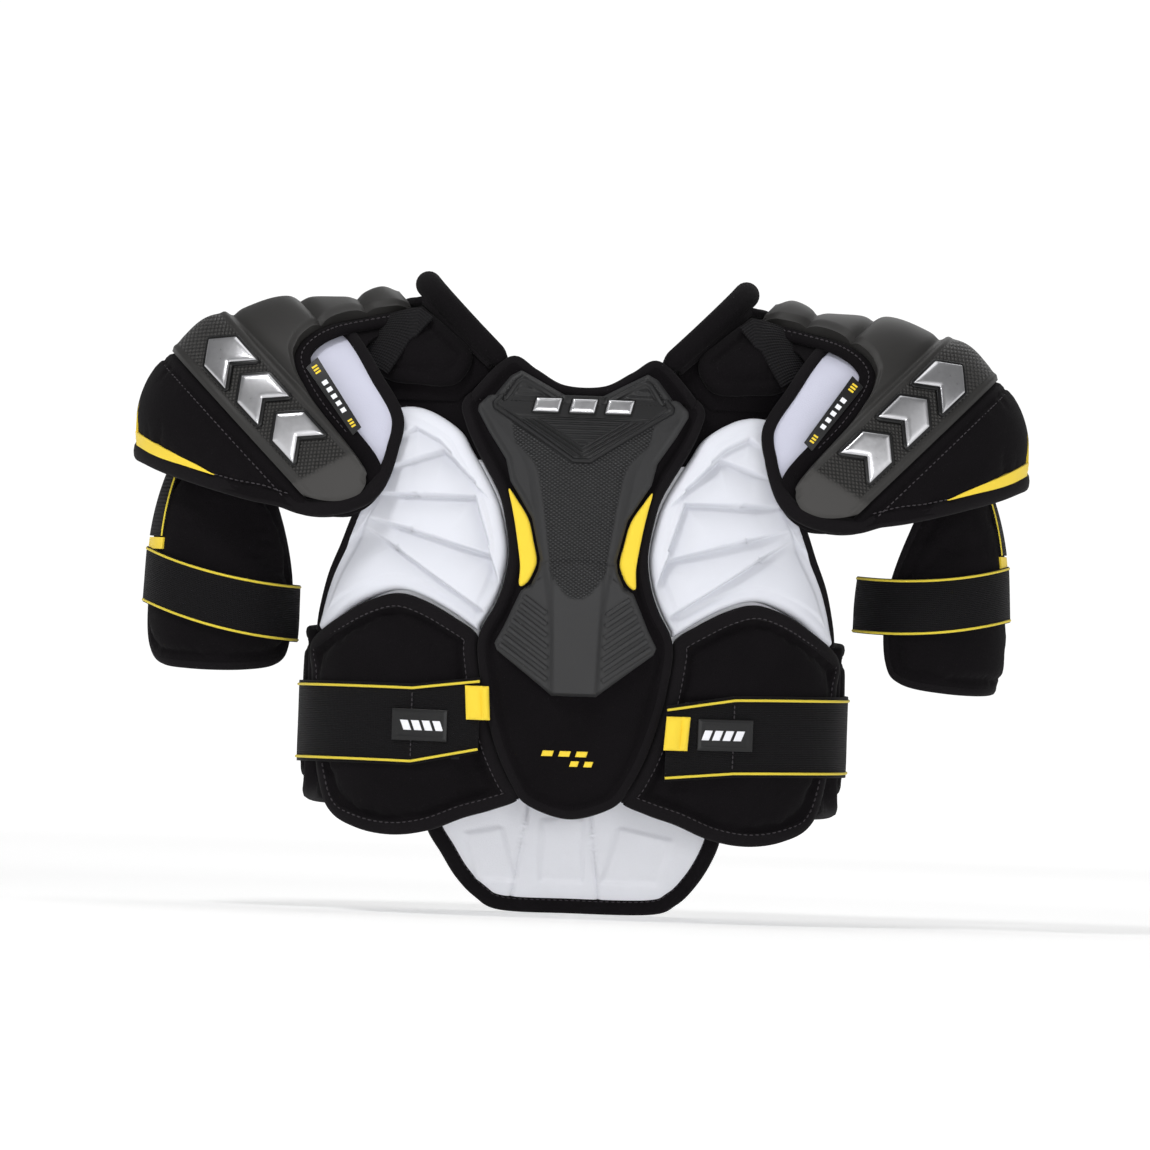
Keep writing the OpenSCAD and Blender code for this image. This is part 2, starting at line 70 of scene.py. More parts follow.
def step(x, lo, hi):
    """Smooth rise from 0 at lo to 1 at hi."""
    f = np.clip((x - lo) / (hi - lo), 0, 1)
    return f * f * (3 - 2 * f)


def half_width(z):
    return 181 - 0.0022 * over(110 - z) ** 2 - 0.0012 * over(z - 260) ** 2


def front_depth(z):
    return 107 - 0.0003 * over(240 - z) ** 2 - 0.001 * over(z - 240) ** 2


def rear_depth(z):
    return 107 - 0.0004 * over(z - 200) ** 2


def shoulder_top(x):
    return 440 - 0.75 * over(np.abs(x) - 117) ** 1.1


def roundness(x, z):
    return (1 - np.minimum(np.abs(x) / half_width(z), 0.999) ** TORSO_POWER) ** (1 / TORSO_POWER)


def arch_cosine(x, z):
    return np.cos(over(np.arcsin(np.clip((z - ARCH) / (shoulder_top(x) - ARCH), -1, 0.999))))


def front_base(x, z):
    z0 = np.minimum(z, ARCH)
    return np.stack([x, -front_depth(z0) * roundness(x, z0) * arch_cosine(x, z), z], -1)


def rear_base(p, z):
    """Back of the torso, with p growing towards the wearer's right."""
    z0 = np.minimum(z, ARCH)
    return np.stack([-p, rear_depth(z0) * roundness(p, z0) * arch_cosine(p, z), z], -1)


def ring_base(a, z):
    """Once round the torso, from the front (0 degrees) by the side (90) to the back (180)."""
    a = np.radians(a)
    s, c = np.sin(a), np.cos(a)
    y = np.where(c > 0, -front_depth(z), rear_depth(z)) * np.abs(c) ** (2 / TORSO_POWER)
    return np.stack([half_width(z) * np.abs(s) ** (2 / TORSO_POWER), y, z + 0 * a], -1)


def yoke_base(x, a):
    """Over the shoulder at x, from the front (0 degrees) by the top (90) to the back (180)."""
    reach = roundness(x, ARCH) * np.where(a < 90, front_depth(ARCH), rear_depth(ARCH))
    a = np.radians(a)
    return np.stack([x + 0 * a, -reach * np.cos(a), ARCH + (shoulder_top(x) - ARCH) * np.sin(a)], -1)


CAP_X, CAP_Z, CAP_SLOPE = 146.5, 296.5, math.radians(45.5)
CAP_HEIGHT = [[-120, 99], [-103, 112], [-84, 120], [-50, 151], [-14, 170], [0, 179], [24, 181],
              [41, 178], [60, 175], [82, 164], [106, 141]]
CAP_REACH = [[-120, 50], [-90, 84], [-64, 104], [-36, 109], [0, 109], [36, 107], [62, 100],
             [84, 88], [106, 64]]


def height_of(s, a):
    return table(CAP_HEIGHT, s) * np.abs(np.sin(np.radians(a))) ** (2 / CAP_POWER)


def cap_base(s, a):
    """Shoulder cap: s runs down and outwards across the bands, a from the front over the top."""
    t = height_of(s, a)
    c = np.cos(np.radians(a))
    y = -table(CAP_REACH, s) * np.sign(c) * np.abs(c) ** (2 / CAP_POWER)
    return np.stack([CAP_X + s * math.sin(CAP_SLOPE) + t * math.cos(CAP_SLOPE), y,
                     CAP_Z - s * math.cos(CAP_SLOPE) + t * math.sin(CAP_SLOPE)], -1)


def cap_angle(s, t):
    """Angle at which the cap's surface stands t above its lower corner line."""
    return np.degrees(np.arcsin(np.clip(over(t) / table(CAP_HEIGHT, s), 0, 1) ** (CAP_POWER / 2)))


ARM_X = 257.0
ARM_HALF_X = [[160, 33], [182, 40.5], [222, 43], [262, 40], [300, 33], [350, 20]]
ARM_HALF_Y = [[160, 38], [182, 45], [222, 49], [262, 47], [300, 41], [350, 28]]
ARM_LEAN = [[160, 0], [225, 0], [310, -2], [350, -12]]


def arm_base(a, z):
    """Inside of an arm guard, with the angle from the front towards the outer side."""
    a = np.radians(a)
    return np.stack([ARM_X + table(ARM_LEAN, z) + table(ARM_HALF_X, z) * np.sin(a),
                     -table(ARM_HALF_Y, z) * np.cos(a), z + 0 * a], -1)


def flat_base(p, q):
    return np.stack([p, q, 0 * p], -1)


def normal_at(base, a, b, e=0.4):
    c = np.cross(base(a + e, b) - base(a - e, b), base(a, b + e) - base(a, b - e))
    return c / np.maximum(np.linalg.norm(c, axis=-1, keepdims=True), 1e-9)


def push(base, a, b, off):
    """Points at a and b on a form, moved outwards by off."""
    a, b = np.broadcast_arrays(np.asarray(a, float), np.asarray(b, float))
    return base(a, b) + normal_at(base, a, b) * np.asarray(off, float)[..., None]


# ---- Curves in a form's own two coordinates ----

def along(p):
    """Distance of each point from the first one, along the line."""
    return np.concatenate([[0], np.cumsum(np.linalg.norm(np.diff(p, axis=0), axis=1))])


def even(p, n, closed):
    d = along(p)
    at = np.linspace(0, d[-1], n, endpoint=not closed)
    return np.stack([np.interp(at, d, p[:, k]) for k in range(p.shape[1])], -1)


def spline(points, n, closed=True):
    """Smooth curve through the points, as n points evenly spaced along it."""
    p = np.array(points, float)
    m = len(p)
    f = np.linspace(0, 1, 24, endpoint=False)[:, None]
    dense = []
    for i in range(m if closed else m - 1):
        a, b, c, d = (p[(i + k) % m if closed else min(max(i + k, 0), m - 1)] for k in (-1, 0, 1, 2))
        dense.append(0.5 * (2 * b + (c - a) * f + (2 * a - 5 * b + 4 * c - d) * f ** 2
                            + (3 * b - a - 3 * c + d) * f ** 3))
    dense.append(p[:1] if closed else p[-1:])
    return even(np.concatenate(dense), n, closed)


def corners(points, n):
    """Straight-sided closed outline as n evenly spaced points."""
    return even(np.array(points + points[:1], float), n, True)


def mirrored(half):
    return half + [[-x, z] for x, z in reversed(half) if x > 0.1]


def slanted(x, z, half, rise, lean):
    """Corners of a small bar with leaning ends."""
    return [[x - half - lean, z - rise], [x + half - lean, z - rise],
            [x + half + lean, z + rise], [x - half + lean, z + rise]]


def grid(a0, a1, rows, b0, b1, cols):
    """Two arrays of rows by columns. The first grows down the rows and the second along the columns."""
    return np.meshgrid(np.linspace(a0, a1, rows), np.linspace(b0, b1, cols), indexing="ij")


def near(points, line):
    """Distance of each point from a closed line."""
    pts = points.reshape(-1, points.shape[-1])
    ends = np.roll(line, -1, 0)
    best = np.full(len(pts), 1e9)
    for k in range(0, len(line), 64):
        p = line[None, k:k + 64]
        d = ends[None, k:k + 64] - p
        t = np.clip(((pts[:, None] - p) * d).sum(-1) / np.maximum((d * d).sum(-1), 1e-12), 0, 1)
        best = np.minimum(best, np.linalg.norm(pts[:, None] - p - d * t[..., None], axis=-1).min(1))
    return best.reshape(points.shape[:-1])


def inwards(line, tangent, centre):
    """Directions across a line, towards the centre."""
    unit = tangent / np.maximum(np.linalg.norm(tangent, axis=1, keepdims=True), 1e-9)
    across = np.stack([-unit[:, 1], unit[:, 0]], -1)
    return across * np.sign(((np.array(centre) - line) * across).sum(1).mean())


def inset(edge, base, amount, centre):
    """Outline moved inwards by about amount on the form."""
    e = np.asarray(edge, float)
    move = inwards(e, np.roll(e, -1, 0) - np.roll(e, 1, 0), centre)
    half = e + move * 0.5
    scale = np.linalg.norm(base(half[:, 0], half[:, 1]) - base(e[:, 0], e[:, 1]), axis=1) / 0.5
    return e + move * (amount / np.maximum(scale, 0.05))[:, None]


def pull_in(line, centre, amount):
    """Open line moved towards the centre."""
    line = np.asarray(line, float)
    return line + inwards(line, np.gradient(line, axis=0), centre) * amount


# ---- Materials ----

def srgb(*levels):
    """Colour from screen levels of 0 to 255."""
    parts = [v / 255 for v in levels]
    return tuple(c / 12.92 if c <= 0.04045 else ((c + 0.055) / 1.055) ** 2.4 for c in parts) + (1,)


def scaled(colour, k):
    return tuple(min(c * k, 1.0) for c in colour[:3]) + (1,)


class Nodes:
    """Small helper to write a node tree."""

    def __init__(self, name):
        self.mat = bpy.data.materials.new(name)
        self.mat.use_nodes = True
        self.tree = self.mat.node_tree
        self.shader = self.tree.nodes["Principled BSDF"]
        self.at = self.new("ShaderNodeTexCoord").outputs["Object"]

    def new(self, kind, **values):
        node = self.tree.nodes.new(kind)
        for k, v in values.items():
            setattr(node, k, v)
        return node

    def link(self, value, socket):
        if isinstance(value, (int, float, tuple)):
            socket.default_value = value
        else:
            self.tree.links.new(value, socket)

    def math(self, op, a, b=0.0, c=None):
        node = self.new("ShaderNodeMath", operation=op)
        for value, socket in zip((a, b) if c is None else (a, b, c), node.inputs):
            self.link(value, socket)
        return node.outputs[0]

    def attr(self, name):
        return self.new("ShaderNodeAttribute", attribute_name=name).outputs["Fac"]

    def noise(self, size, detail=3, rough=0.5):
        node = self.new("ShaderNodeTexNoise")
        node.inputs["Scale"].default_value = 1 / (size * MM)
        node.inputs["Detail"].default_value = detail
        node.inputs["Roughness"].default_value = rough
        self.link(self.at, node.inputs["Vector"])
        return node.outputs["Fac"]

    def cells(self, size):
        node = self.new("ShaderNodeTexVoronoi")
        node.inputs["Scale"].default_value = 1 / (size * MM)
        self.link(self.at, node.inputs["Vector"])
        return node.outputs["Distance"]

    def waves(self, coord, pitch, phase=0.0):
        """Wave from 0 to 1 along a coordinate."""
        turn = self.math("MULTIPLY_ADD", coord, 2 * math.pi / pitch, phase)
        return self.math("MULTIPLY_ADD", self.math("SINE", turn), 0.5, 0.5)

    def mix(self, fac, a, b):
        node = self.new("ShaderNodeMix", data_type="RGBA")
        self.link(fac, node.inputs["Factor"])
        self.link(a, node.inputs["A"])
        self.link(b, node.inputs["B"])
        return node.outputs["Result"]

    def bump(self, height, depth, strength, under=None):
        node = self.new("ShaderNodeBump")
        node.inputs["Strength"].default_value = strength
        node.inputs["Distance"].default_value = depth * MM
        self.link(height, node.inputs["Height"])
        if under is not None:
            self.link(under, node.inputs["Normal"])
        return node.outputs["Normal"]

    def done(self, colour, rough, normal=None, metallic=0.0, sheen=0.0, specular=0.5):
        inputs = self.shader.inputs
        self.link(colour, inputs["Base Color"])
        self.link(rough, inputs["Roughness"])
        if normal is not None:
            self.link(normal, inputs["Normal"])
        inputs["Metallic"].default_value = metallic
        inputs["Sheen Weight"].default_value = sheen
        inputs["Sheen Roughness"].default_value = 0.45
        inputs["Specular IOR Level"].default_value = specular
        return self.mat


def fabric(name, colour, weave, depth, rough, sheen, spread, specular=0.25, creases=0.0):
    """Knitted or brushed cloth: fine loops, fuzz, slow changes of tone, and painted crease shade where mask
    is set.
    """
    k = Nodes(name)
    slow = k.noise(38, 3)
    fine = k.noise(weave, 2, 0.6)
    loops = k.cells(weave * 1.1)
    tone = k.math("MULTIPLY_ADD", slow, 0.7, k.math("MULTIPLY", fine, 0.3))
    col = k.mix(tone, scaled(colour, 1 - spread), scaled(colour, 1 + spread))
    if creases:
        # painted shade: darker in the creases where mask is set
        col = k.mix(k.math("MULTIPLY", k.attr("mask"), creases), col, scaled(colour, 0.1))
    normal = k.bump(loops, depth, 0.7)
    normal = k.bump(fine, depth * 0.8, 0.5, normal)
    normal = k.bump(slow, 1.2, 0.5, normal)
    return k.done(col, rough, normal, sheen=sheen, specular=specular)


def moulded(name, colour, lozenges=None, rough=0.55):
    """Moulded foam skin: fine pebble, raised lozenges with painted shade between them and painted highlights
    on their tops where mask is set, and lighter where light is.
    """
    k = Nodes(name)
    slow = k.noise(55, 2)
    fine = k.noise(0.9, 2, 0.6)
    col = k.mix(slow, scaled(colour, 0.85), scaled(colour, 1.18))
    normal = k.bump(fine, 0.10, 0.5)
    if lozenges:
        mask = k.attr("mask")
        u = k.math("DIVIDE", k.attr("u"), lozenges[0])
        v = k.math("DIVIDE", k.attr("v"), lozenges[1])
        one, two = (k.waves(k.math(op, u, v), 2.0) for op in ("ADD", "SUBTRACT"))
        lozenge = k.math("MULTIPLY", k.math("POWER", k.math("MULTIPLY", one, two), 0.5), mask)
        normal = k.bump(lozenge, 0.9, 1.0, normal)
        # painted shade: darker between the lozenges
        col = k.mix(k.math("MULTIPLY", mask, k.math("SUBTRACT", 1.0, lozenge)), col, scaled(colour, 0.18))
        # painted highlight: lighter on the tops of the lozenges
        col = k.mix(k.math("MULTIPLY", lozenge, 0.6), col, scaled(colour, 2.6))
        col = k.mix(k.math("MULTIPLY", k.attr("light"), 0.6), col, scaled(colour, 2.4))
    return k.done(col, rough, normal, specular=0.32)


def elastic(name, colour, pitch, depth):
    """Woven elastic: ribs across v, with fine yarns."""
    k = Nodes(name)
    ribs = k.waves(k.attr("v"), pitch)
    yarn = k.waves(k.attr("u"), pitch * 0.9)
    fine = k.noise(0.7, 2)
    tone = k.math("MULTIPLY_ADD", ribs, 0.6, k.math("MULTIPLY", fine, 0.4))
    col = k.mix(tone, scaled(colour, 0.6), scaled(colour, 1.35))
    normal = k.bump(ribs, depth, 0.8)
    normal = k.bump(yarn, depth * 0.5, 0.5, normal)
    normal = k.bump(fine, 0.15, 0.5, normal)
    return k.done(col, 0.75, normal, sheen=0.02, specular=0.14)


def metal(name, colour):
    """Bright plated trim with faint scratches."""
    k = Nodes(name)
    scratches = k.noise(3, 4)
    normal = k.bump(k.noise(12, 2), 0.15, 0.4)
    col = k.mix(scratches, scaled(colour, 0.85), colour)
    return k.done(col, k.math("MULTIPLY_ADD", scratches, 0.12, 0.24), normal, metallic=1.0)


# Each look, and the slot that it fills. Fabrics have weave, depth, roughness, sheen and spread of tone.
LOOKS = {
    "black": (fabric("black_fabric", srgb(17, 15, 17), 1.0, 0.3, 1.0, 0.02, 0.4, 0.08), "black_fabric"),
    "binding": (fabric("black_binding", srgb(22, 20, 22), 0.8, 0.25, 1.0, 0.03, 0.3, 0.1), "black_fabric"),
    "thread": (fabric("thread", srgb(62, 58, 62), 0.5, 0.1, 0.8, 0.1, 0.1), "black_fabric"),
    "lining": (fabric("white_lining", srgb(242, 243, 248), 0.9, 0.16, 0.85, 0.1, 0.05), "white_lining"),
    "wing": (fabric("cap_lining", srgb(203, 204, 220), 0.8, 0.12, 0.85, 0.1, 0.05), "white_lining"),
    # the white foam is painted darker in its creases, as shade
    "foam": (fabric("white_foam", srgb(226, 228, 236), 0.7, 0.06, 0.8, 0.1, 0.03, creases=0.2), "white_foam"),
    "charcoal": (moulded("charcoal_foam", srgb(43, 43, 44), (1.9, 1.25)), "charcoal_foam"),
    "shell": (moulded("cap_foam", srgb(43, 42, 41), (1.7, 2.1)), "charcoal_foam"),
    "badge": (moulded("badge_foam", srgb(24, 24, 25), rough=0.45), "charcoal_foam"),
    "yellow": (fabric("yellow_trim", srgb(246, 214, 60), 0.7, 0.1, 0.6, 0.1, 0.06), "yellow_trim"),
    "yellow_thread": (fabric("yellow_thread", srgb(226, 204, 62), 0.6, 0.2, 0.7, 0.1, 0.12), "yellow_trim"),
    "chrome": (metal("chrome_trim", (0.62, 0.62, 0.64, 1)), "chrome_trim"),
    "rim": (moulded("emblem_rim", srgb(10, 10, 11), rough=0.4), "charcoal_foam"),
    "elastic": (elastic("elastic", srgb(14, 13, 15), 1.3, 0.4), "elastic"),
    "webbing": (elastic("ribbed_webbing", srgb(22, 21, 23), 2.6, 0.8), "elastic"),
    "patch": (fabric("loop_patch", srgb(28, 28, 30), 1.6, 0.5, 0.95, 0.3, 0.3), "loop_patch"),
}


def finish(obj, look, body, nodes=()):
    """Look, body and replaced CAD nodes of a piece."""
    material, slot = LOOKS[look]
    obj.data.materials.clear()
    obj.data.materials.append(material)
    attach(obj, body)
    if nodes:
        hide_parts(*nodes)


# ---- Meshes ----

def make(name, verts, faces, side=1, uv=None, sharp=None, **layers):
    """Mesh object, mirrored by side -1. uv and the layers become attributes of its points."""
    v = np.array(verts, float) * MM
    v[:, 0] *= side
    if side < 0:
        faces = [tuple(reversed(f)) for f in faces]
    if uv is not None:
        layers["u"], layers["v"] = uv.T
    mesh = bpy.data.meshes.new(name)
    mesh.from_pydata(v.tolist(), [], faces)
    for key, values in layers.items():
        layer = mesh.attributes.new(key, "FLOAT", "POINT")
        layer.data.foreach_set("value", np.ascontiguousarray(values, np.float32))
    mesh.shade_smooth()
    if sharp:
        mesh.set_sharp_from_angle(angle=math.radians(sharp))
    mesh.update()
    obj = bpy.data.objects.new(name, mesh)
    bpy.context.scene.collection.objects.link(obj)
    bm = bmesh.new()
    bm.from_mesh(mesh)
    bmesh.ops.recalc_face_normals(bm, faces=bm.faces)
    bm.to_mesh(mesh)
    bm.free()
    return obj


def disc(start, n, rings, upwards):
    """Faces of a round grid: a middle point, then rings of n points."""
    faces = [(start, start + 1 + i, start + 1 + (i + 1) % n) for i in range(n)]
    for m in range(rings - 1):
        p = start + 1 + m * n
        q = p + n
        faces += [(p + i, q + i, q + (i + 1) % n, p + (i + 1) % n) for i in range(n)]
    return faces if upwards else [f[:1] + f[:0:-1] for f in faces]


def pad(name, base, edge, centre, low, top, side=1, roll=8.0, rings=36, floor=0.35, crown=0.0, relief=None,
        mask=None, sharp=None):
    """Padded piece inside an outline: flat underneath, and rounded over roll at its rim, where it is
    floor times as thick. relief(a, b, d) is added to it, d from the rim, and mask(a, b, d) is a layer."""
    n = len(edge)
    centre = np.array(centre, float)

    def spread(radii):
        outlines = centre + (edge - centre) * radii[:, None, None]
        return np.concatenate([centre[None], outlines.reshape(-1, 2)])

    above = spread(np.sin(np.linspace(0, math.pi / 2, rings + 1))[1:])
    below = spread(np.array([0.5, 0.85, 1.0]))
    a, b = above.T
    d = near(base(a, b), base(edge[:, 0], edge[:, 1]))
    round_ = (1 - (1 - np.clip(d / roll, 0, 1)) ** 2.3) ** (1 / 2.3)
    h = (top - low) * (floor + (1 - floor) * round_) + crown * (1 - np.exp(-d / 30))
    if relief is not None:
        h = h + relief(a, b, d) * step(d, 0, roll)
    count = len(above)
    upper_rim, lower_rim = count - n, count + len(below) - n
    faces = disc(0, n, rings, True) + disc(count, n, 3, False)
    faces += [(upper_rim + i, lower_rim + i, lower_rim + (i + 1) % n, upper_rim + (i + 1) % n)
              for i in range(n)]
    verts = np.concatenate([push(base, a, b, low + h), push(base, *below.T, low)])
    rest = np.zeros(len(below))
    layers = {"rim": np.concatenate([d, rest])}
    if mask is not None:
        layers["mask"] = np.concatenate([mask(a, b, d), rest])
    return make(name, verts, faces, side, np.concatenate([above, below]), sharp, **layers)


def channel(depth, at, width):
    """Relief with a sewn channel at a distance from the rim."""
    return lambda a, b, d: -depth * np.exp(-((d - at) / width) ** 2)


def sheet(name, base, a, b, low, high, side=1, uv=None, sharp=35, **layers):
    """Closed sheet over a grid of form coordinates."""
    rows, cols = a.shape
    n = rows * cols
    verts = np.concatenate([push(base, a, b, off).reshape(-1, 3) for off in (high, low)])
    p = (np.arange(rows - 1)[:, None] * cols + np.arange(cols - 1)).ravel()
    faces = [(x, x + 1, x + cols + 1, x + cols) for x in p]
    faces += [(x + n, x + cols + n, x + cols + 1 + n, x + 1 + n) for x in p]
    ring = list(range(cols)) + [k * cols + cols - 1 for k in range(1, rows)]
    ring += [(rows - 1) * cols + k for k in range(cols - 2, -1, -1)]
    ring += [k * cols for k in range(rows - 2, 0, -1)]
    faces += [(p, p + n, q + n, q) for p, q in zip(ring, ring[1:] + ring[:1])]
    uv = np.tile((np.stack([a, b], -1) if uv is None else uv).reshape(-1, 2), (2, 1))
    layers = {key: np.concatenate([values.ravel(), np.zeros(n)]) for key, values in layers.items()}
    return make(name, verts, faces, side, uv, sharp, **layers)


def sweep(name, base, line, off, width, thick, side=1, closed=True, sides=12, square=2.0):
    """Tape or cord along a line of form coordinates, off above the form: width across and thick through."""
    line = np.asarray(line, float)
    n = len(line)
    p = push(base, line[:, 0], line[:, 1], off)
    t = np.roll(p, -1, 0) - np.roll(p, 1, 0) if closed else np.gradient(p, axis=0)
    t /= np.maximum(np.linalg.norm(t, axis=1, keepdims=True), 1e-9)
    across = np.cross(t, normal_at(base, line[:, 0], line[:, 1]))
    across /= np.maximum(np.linalg.norm(across, axis=1, keepdims=True), 1e-9)
    up = np.cross(across, t)
    turn = np.linspace(0, 2 * math.pi, sides, endpoint=False)
    cx, cy = (np.sign(w) * np.abs(w) ** (2 / square) for w in (np.cos(turn), np.sin(turn)))
    w, h = (np.broadcast_to(np.asarray(size, float), n)[:, None, None] / 2 for size in (width, thick))
    rings = p[:, None] + across[:, None] * cx[None, :, None] * w + up[:, None] * cy[None, :, None] * h
    uv = np.stack([np.repeat(along(p), sides), np.tile(cx * np.mean(w), n)], -1)
    faces = []
    for i in range(n if closed else n - 1):
        p, q = i * sides, (i + 1) % n * sides
        faces += [(p + k, q + k, q + (k + 1) % sides, p + (k + 1) % sides) for k in range(sides)]
    if not closed:
        faces += [tuple(range(sides)), tuple((n - 1) * sides + k for k in reversed(range(sides)))]
    return make(name, rings.reshape(-1, 3), faces, side, uv)


def tape(name, base, edge, centre, inwards_by, off, width, thick, side=1, square=2.8, body="torso"):
    """Binding folded over the rim of a pad."""
    line = inset(edge, base, inwards_by, centre)
    finish(sweep(name, base, line, off, width, thick, side, square=square), "binding", body)


STITCH_WIDTH = 0.8


def stitches(name, base, line, off, side=1, body="torso", look="thread", length=2.6, pitch=4.2, thick=0.7,
             closed=True):
    """Row of separate stitches along a line."""
    line = np.asarray(line, float)
    if closed:
        line = np.concatenate([line, line[:1]])
    d = along(base(line[:, 0], line[:, 1]))
    count = max(int(d[-1] / pitch), 1)
    verts, faces = [], []
    for s in (np.arange(count) + 0.5) * d[-1] / count:
        at = np.clip(np.array([s - length / 2, s, s + length / 2]), 0, d[-1])
        q = np.stack([np.interp(at, d, line[:, k]) for k in (0, 1)], -1)
        spots = push(base, q[:, 0], q[:, 1], off)
        up = normal_at(base, q[:, 0], q[:, 1])[1]
        t = spots[2] - spots[0]
        t /= max(np.linalg.norm(t), 1e-9)
        across = np.cross(t, up) * STITCH_WIDTH / 2
        o = len(verts)
        for spot, f, lift in zip(spots, (0.5, 1, 0.5), (0.15, thick, 0.15)):
            low, shoulder = -0.4 * up, 0.6 * lift * up
            verts += [spot + across * f + low, spot + across * f + shoulder, spot + lift * up,
                      spot - across * f + shoulder, spot - across * f + low]
        for p in (o, o + 5):
            faces += [(p + m, p + (m + 1) % 5, p + (m + 1) % 5 + 5, p + m + 5) for m in range(5)]
        faces += [tuple(o + m for m in reversed(range(5))), tuple(o + 10 + m for m in range(5))]
    finish(make(name, verts, faces, side), look, body)


# ---- Filled cloth ----

VOXEL = 5.0
FRAMES = 20
SHAPES = {}


def coords(mesh):
    out = np.zeros(len(mesh.vertices) * 3)
    mesh.vertices.foreach_get("co", out)
    return out.reshape(-1, 3)


def rim_of(obj):
    rim = np.zeros(len(obj.data.vertices), np.float32)
    obj.data.attributes["rim"].data.foreach_get("value", rim)
    return rim


def tree_of(points):
    tree = KDTree(len(points))
    for i, v in enumerate(points):
        tree.insert(v, i)
    tree.balance()
    return tree


def swell(obj, limit, pressure, grow):
    """Points of a coarse copy of the piece, and how far cloth under pressure moves each of them."""
    scene = bpy.context.scene
    trial = bpy.data.objects.new(obj.name + "_trial", obj.data.copy())
    scene.collection.objects.link(trial)
    remesh = trial.modifiers.new("remesh", "REMESH")
    remesh.mode = "VOXEL"
    remesh.voxel_size = VOXEL * MM
    coarse = bpy.data.meshes.new_from_object(trial.evaluated_get(bpy.context.evaluated_depsgraph_get()))
    trial.modifiers.clear()
    trial.data = coarse
    start = coords(coarse)
    tree = tree_of(coords(obj.data))
    rim = rim_of(obj)
    group = trial.vertex_groups.new(name="sewn")
    for i, v in enumerate(start):
        group.add([i], float(np.clip(1.3 - rim[tree.find(v)[1]] / 9, 0, 1)), "REPLACE")
    modifier = trial.modifiers.new("cloth", "CLOTH")
    cloth = modifier.settings
    cloth.quality = 5
    cloth.mass = 0.15
    cloth.tension_stiffness = cloth.compression_stiffness = 12
    cloth.shear_stiffness = 6
    cloth.bending_stiffness = 0.3
    cloth.use_pressure = True
    cloth.uniform_pressure_force = pressure
    cloth.shrink_min = -grow
    cloth.vertex_group_mass = group.name
    cloth.pin_stiffness = 1.0
    cloth.effector_weights.gravity = 0
    modifier.collision_settings.use_collision = False
    modifier.point_cache.frame_start, modifier.point_cache.frame_end = 1, FRAMES
    for number in range(1, FRAMES + 1):
        scene.frame_set(number)
    done = trial.evaluated_get(bpy.context.evaluated_depsgraph_get())
    move = coords(done.to_mesh()) - start
    done.to_mesh_clear()
    bpy.data.objects.remove(trial)
    scene.frame_set(1)
    size = np.linalg.norm(move, axis=1, keepdims=True)
    top = limit * MM
    return start, move * np.where(size > 1e-9, top * np.tanh(size / top) / np.maximum(size, 1e-9), 0)


def puff(obj, key, side, limit=3.5, pressure=4.0, grow=0.05):
    """Lets the cover of a padded piece swell, sewn down at its rim. Pieces with one key share a result."""
    flip = np.array([side, 1, 1])
    if key not in SHAPES:
        SHAPES[key] = [part * flip for part in swell(obj, limit, pressure, grow)]
    start, move = (part * flip for part in SHAPES[key])
    tree = tree_of(start)
    rim = rim_of(obj)
    pts = coords(obj.data)
    for i in np.nonzero(rim > 0.5)[0]:
        found = tree.find_n(pts[i], 6)
        w = np.array([1 / (f[2] + 0.001) ** 2 for f in found])
        pts[i] += (move[[f[1] for f in found]] * w[:, None]).sum(0) / w.sum() * step(rim[i], 2, 10)
    obj.data.vertices.foreach_set("co", pts.ravel())
    obj.data.update()


# ---- Outlines: x and height on the front, p and height on the back ----

STERNUM = mirrored([[0, 73], [29.6, 82], [41.3, 97], [52.5, 121.5], [61, 150.5], [64.5, 169], [67.3, 190.5],
                    [65.3, 205], [56.5, 222], [50.5, 240], [48, 262], [52.5, 289], [57, 303], [64.5, 317],
                    [73.5, 333], [81, 350], [83, 364], [70, 381], [51, 395], [34, 387.5], [14, 379]])
PLATE = mirrored([[15.6, 160], [54.3, 191], [56, 196], [50, 208], [43.3, 224], [39, 234], [33, 237],
                  [28, 248], [26.8, 256], [29.6, 268], [33.4, 284], [42, 298], [49, 309], [52.5, 324],
                  [64.5, 342.5], [72.5, 357], [72, 361], [51, 382.5], [44, 385.5], [13.5, 373]])
BADGE = mirrored([[6.5, 321.5], [62, 358], [62.5, 362], [47, 380], [42, 382.5], [13, 370.5]])
INSERT = [[50, 304], [44, 296.5], [35.6, 283], [31.4, 267], [29, 256], [30, 249.5], [35, 239.5],
          [40.5, 237.5], [40.5, 252], [44, 275], [47, 290]]
CHEST = [[69.5, 204.5], [86, 215.5], [104, 225.5], [121, 231], [136, 228.5], [156, 217.5], [174.5, 198.5],
         [173, 215], [168, 240], [160.5, 262], [153.5, 283], [144, 304], [137, 326], [134, 345], [131, 358],
         [119, 361], [104, 357], [86, 345], [77, 331], [67.5, 315], [60, 301], [55, 287], [50.5, 262],
         [53, 241], [59, 223.5], [67, 208.5]]
RIB = [[37, 86.5], [55, 78], [75, 71.5], [98, 62], [122, 58], [145, 62], [163, 74], [171, 100], [174.5, 140],
       [176, 170], [176, 192], [155, 213.5], [136, 224.5], [121, 227], [104, 221.5], [86, 211.5], [71, 201],
       [70, 190], [67, 168], [63.5, 150], [55, 121], [44.5, 98.5]]
CLAVICLE = [[80, 24], [90, 9], [115, 8], [136, 13], [148, 30], [143, 46], [133, 58], [123, 60], [111, 50],
            [96, 38]]
BACK = [[50, 214], [100, 210], [150, 212], [160, 222], [156, 258], [147, 293], [136, 322], [131, 354],
        [112, 362], [84, 360], [66, 352], [54, 316], [48, 278], [48, 238]]
WING = [[78.5, 104], [87, 84], [118, 76], [146, 82], [158, 108], [159, 158], [156, 196], [120, 202],
        [85, 200], [78, 186], [77.5, 140]]
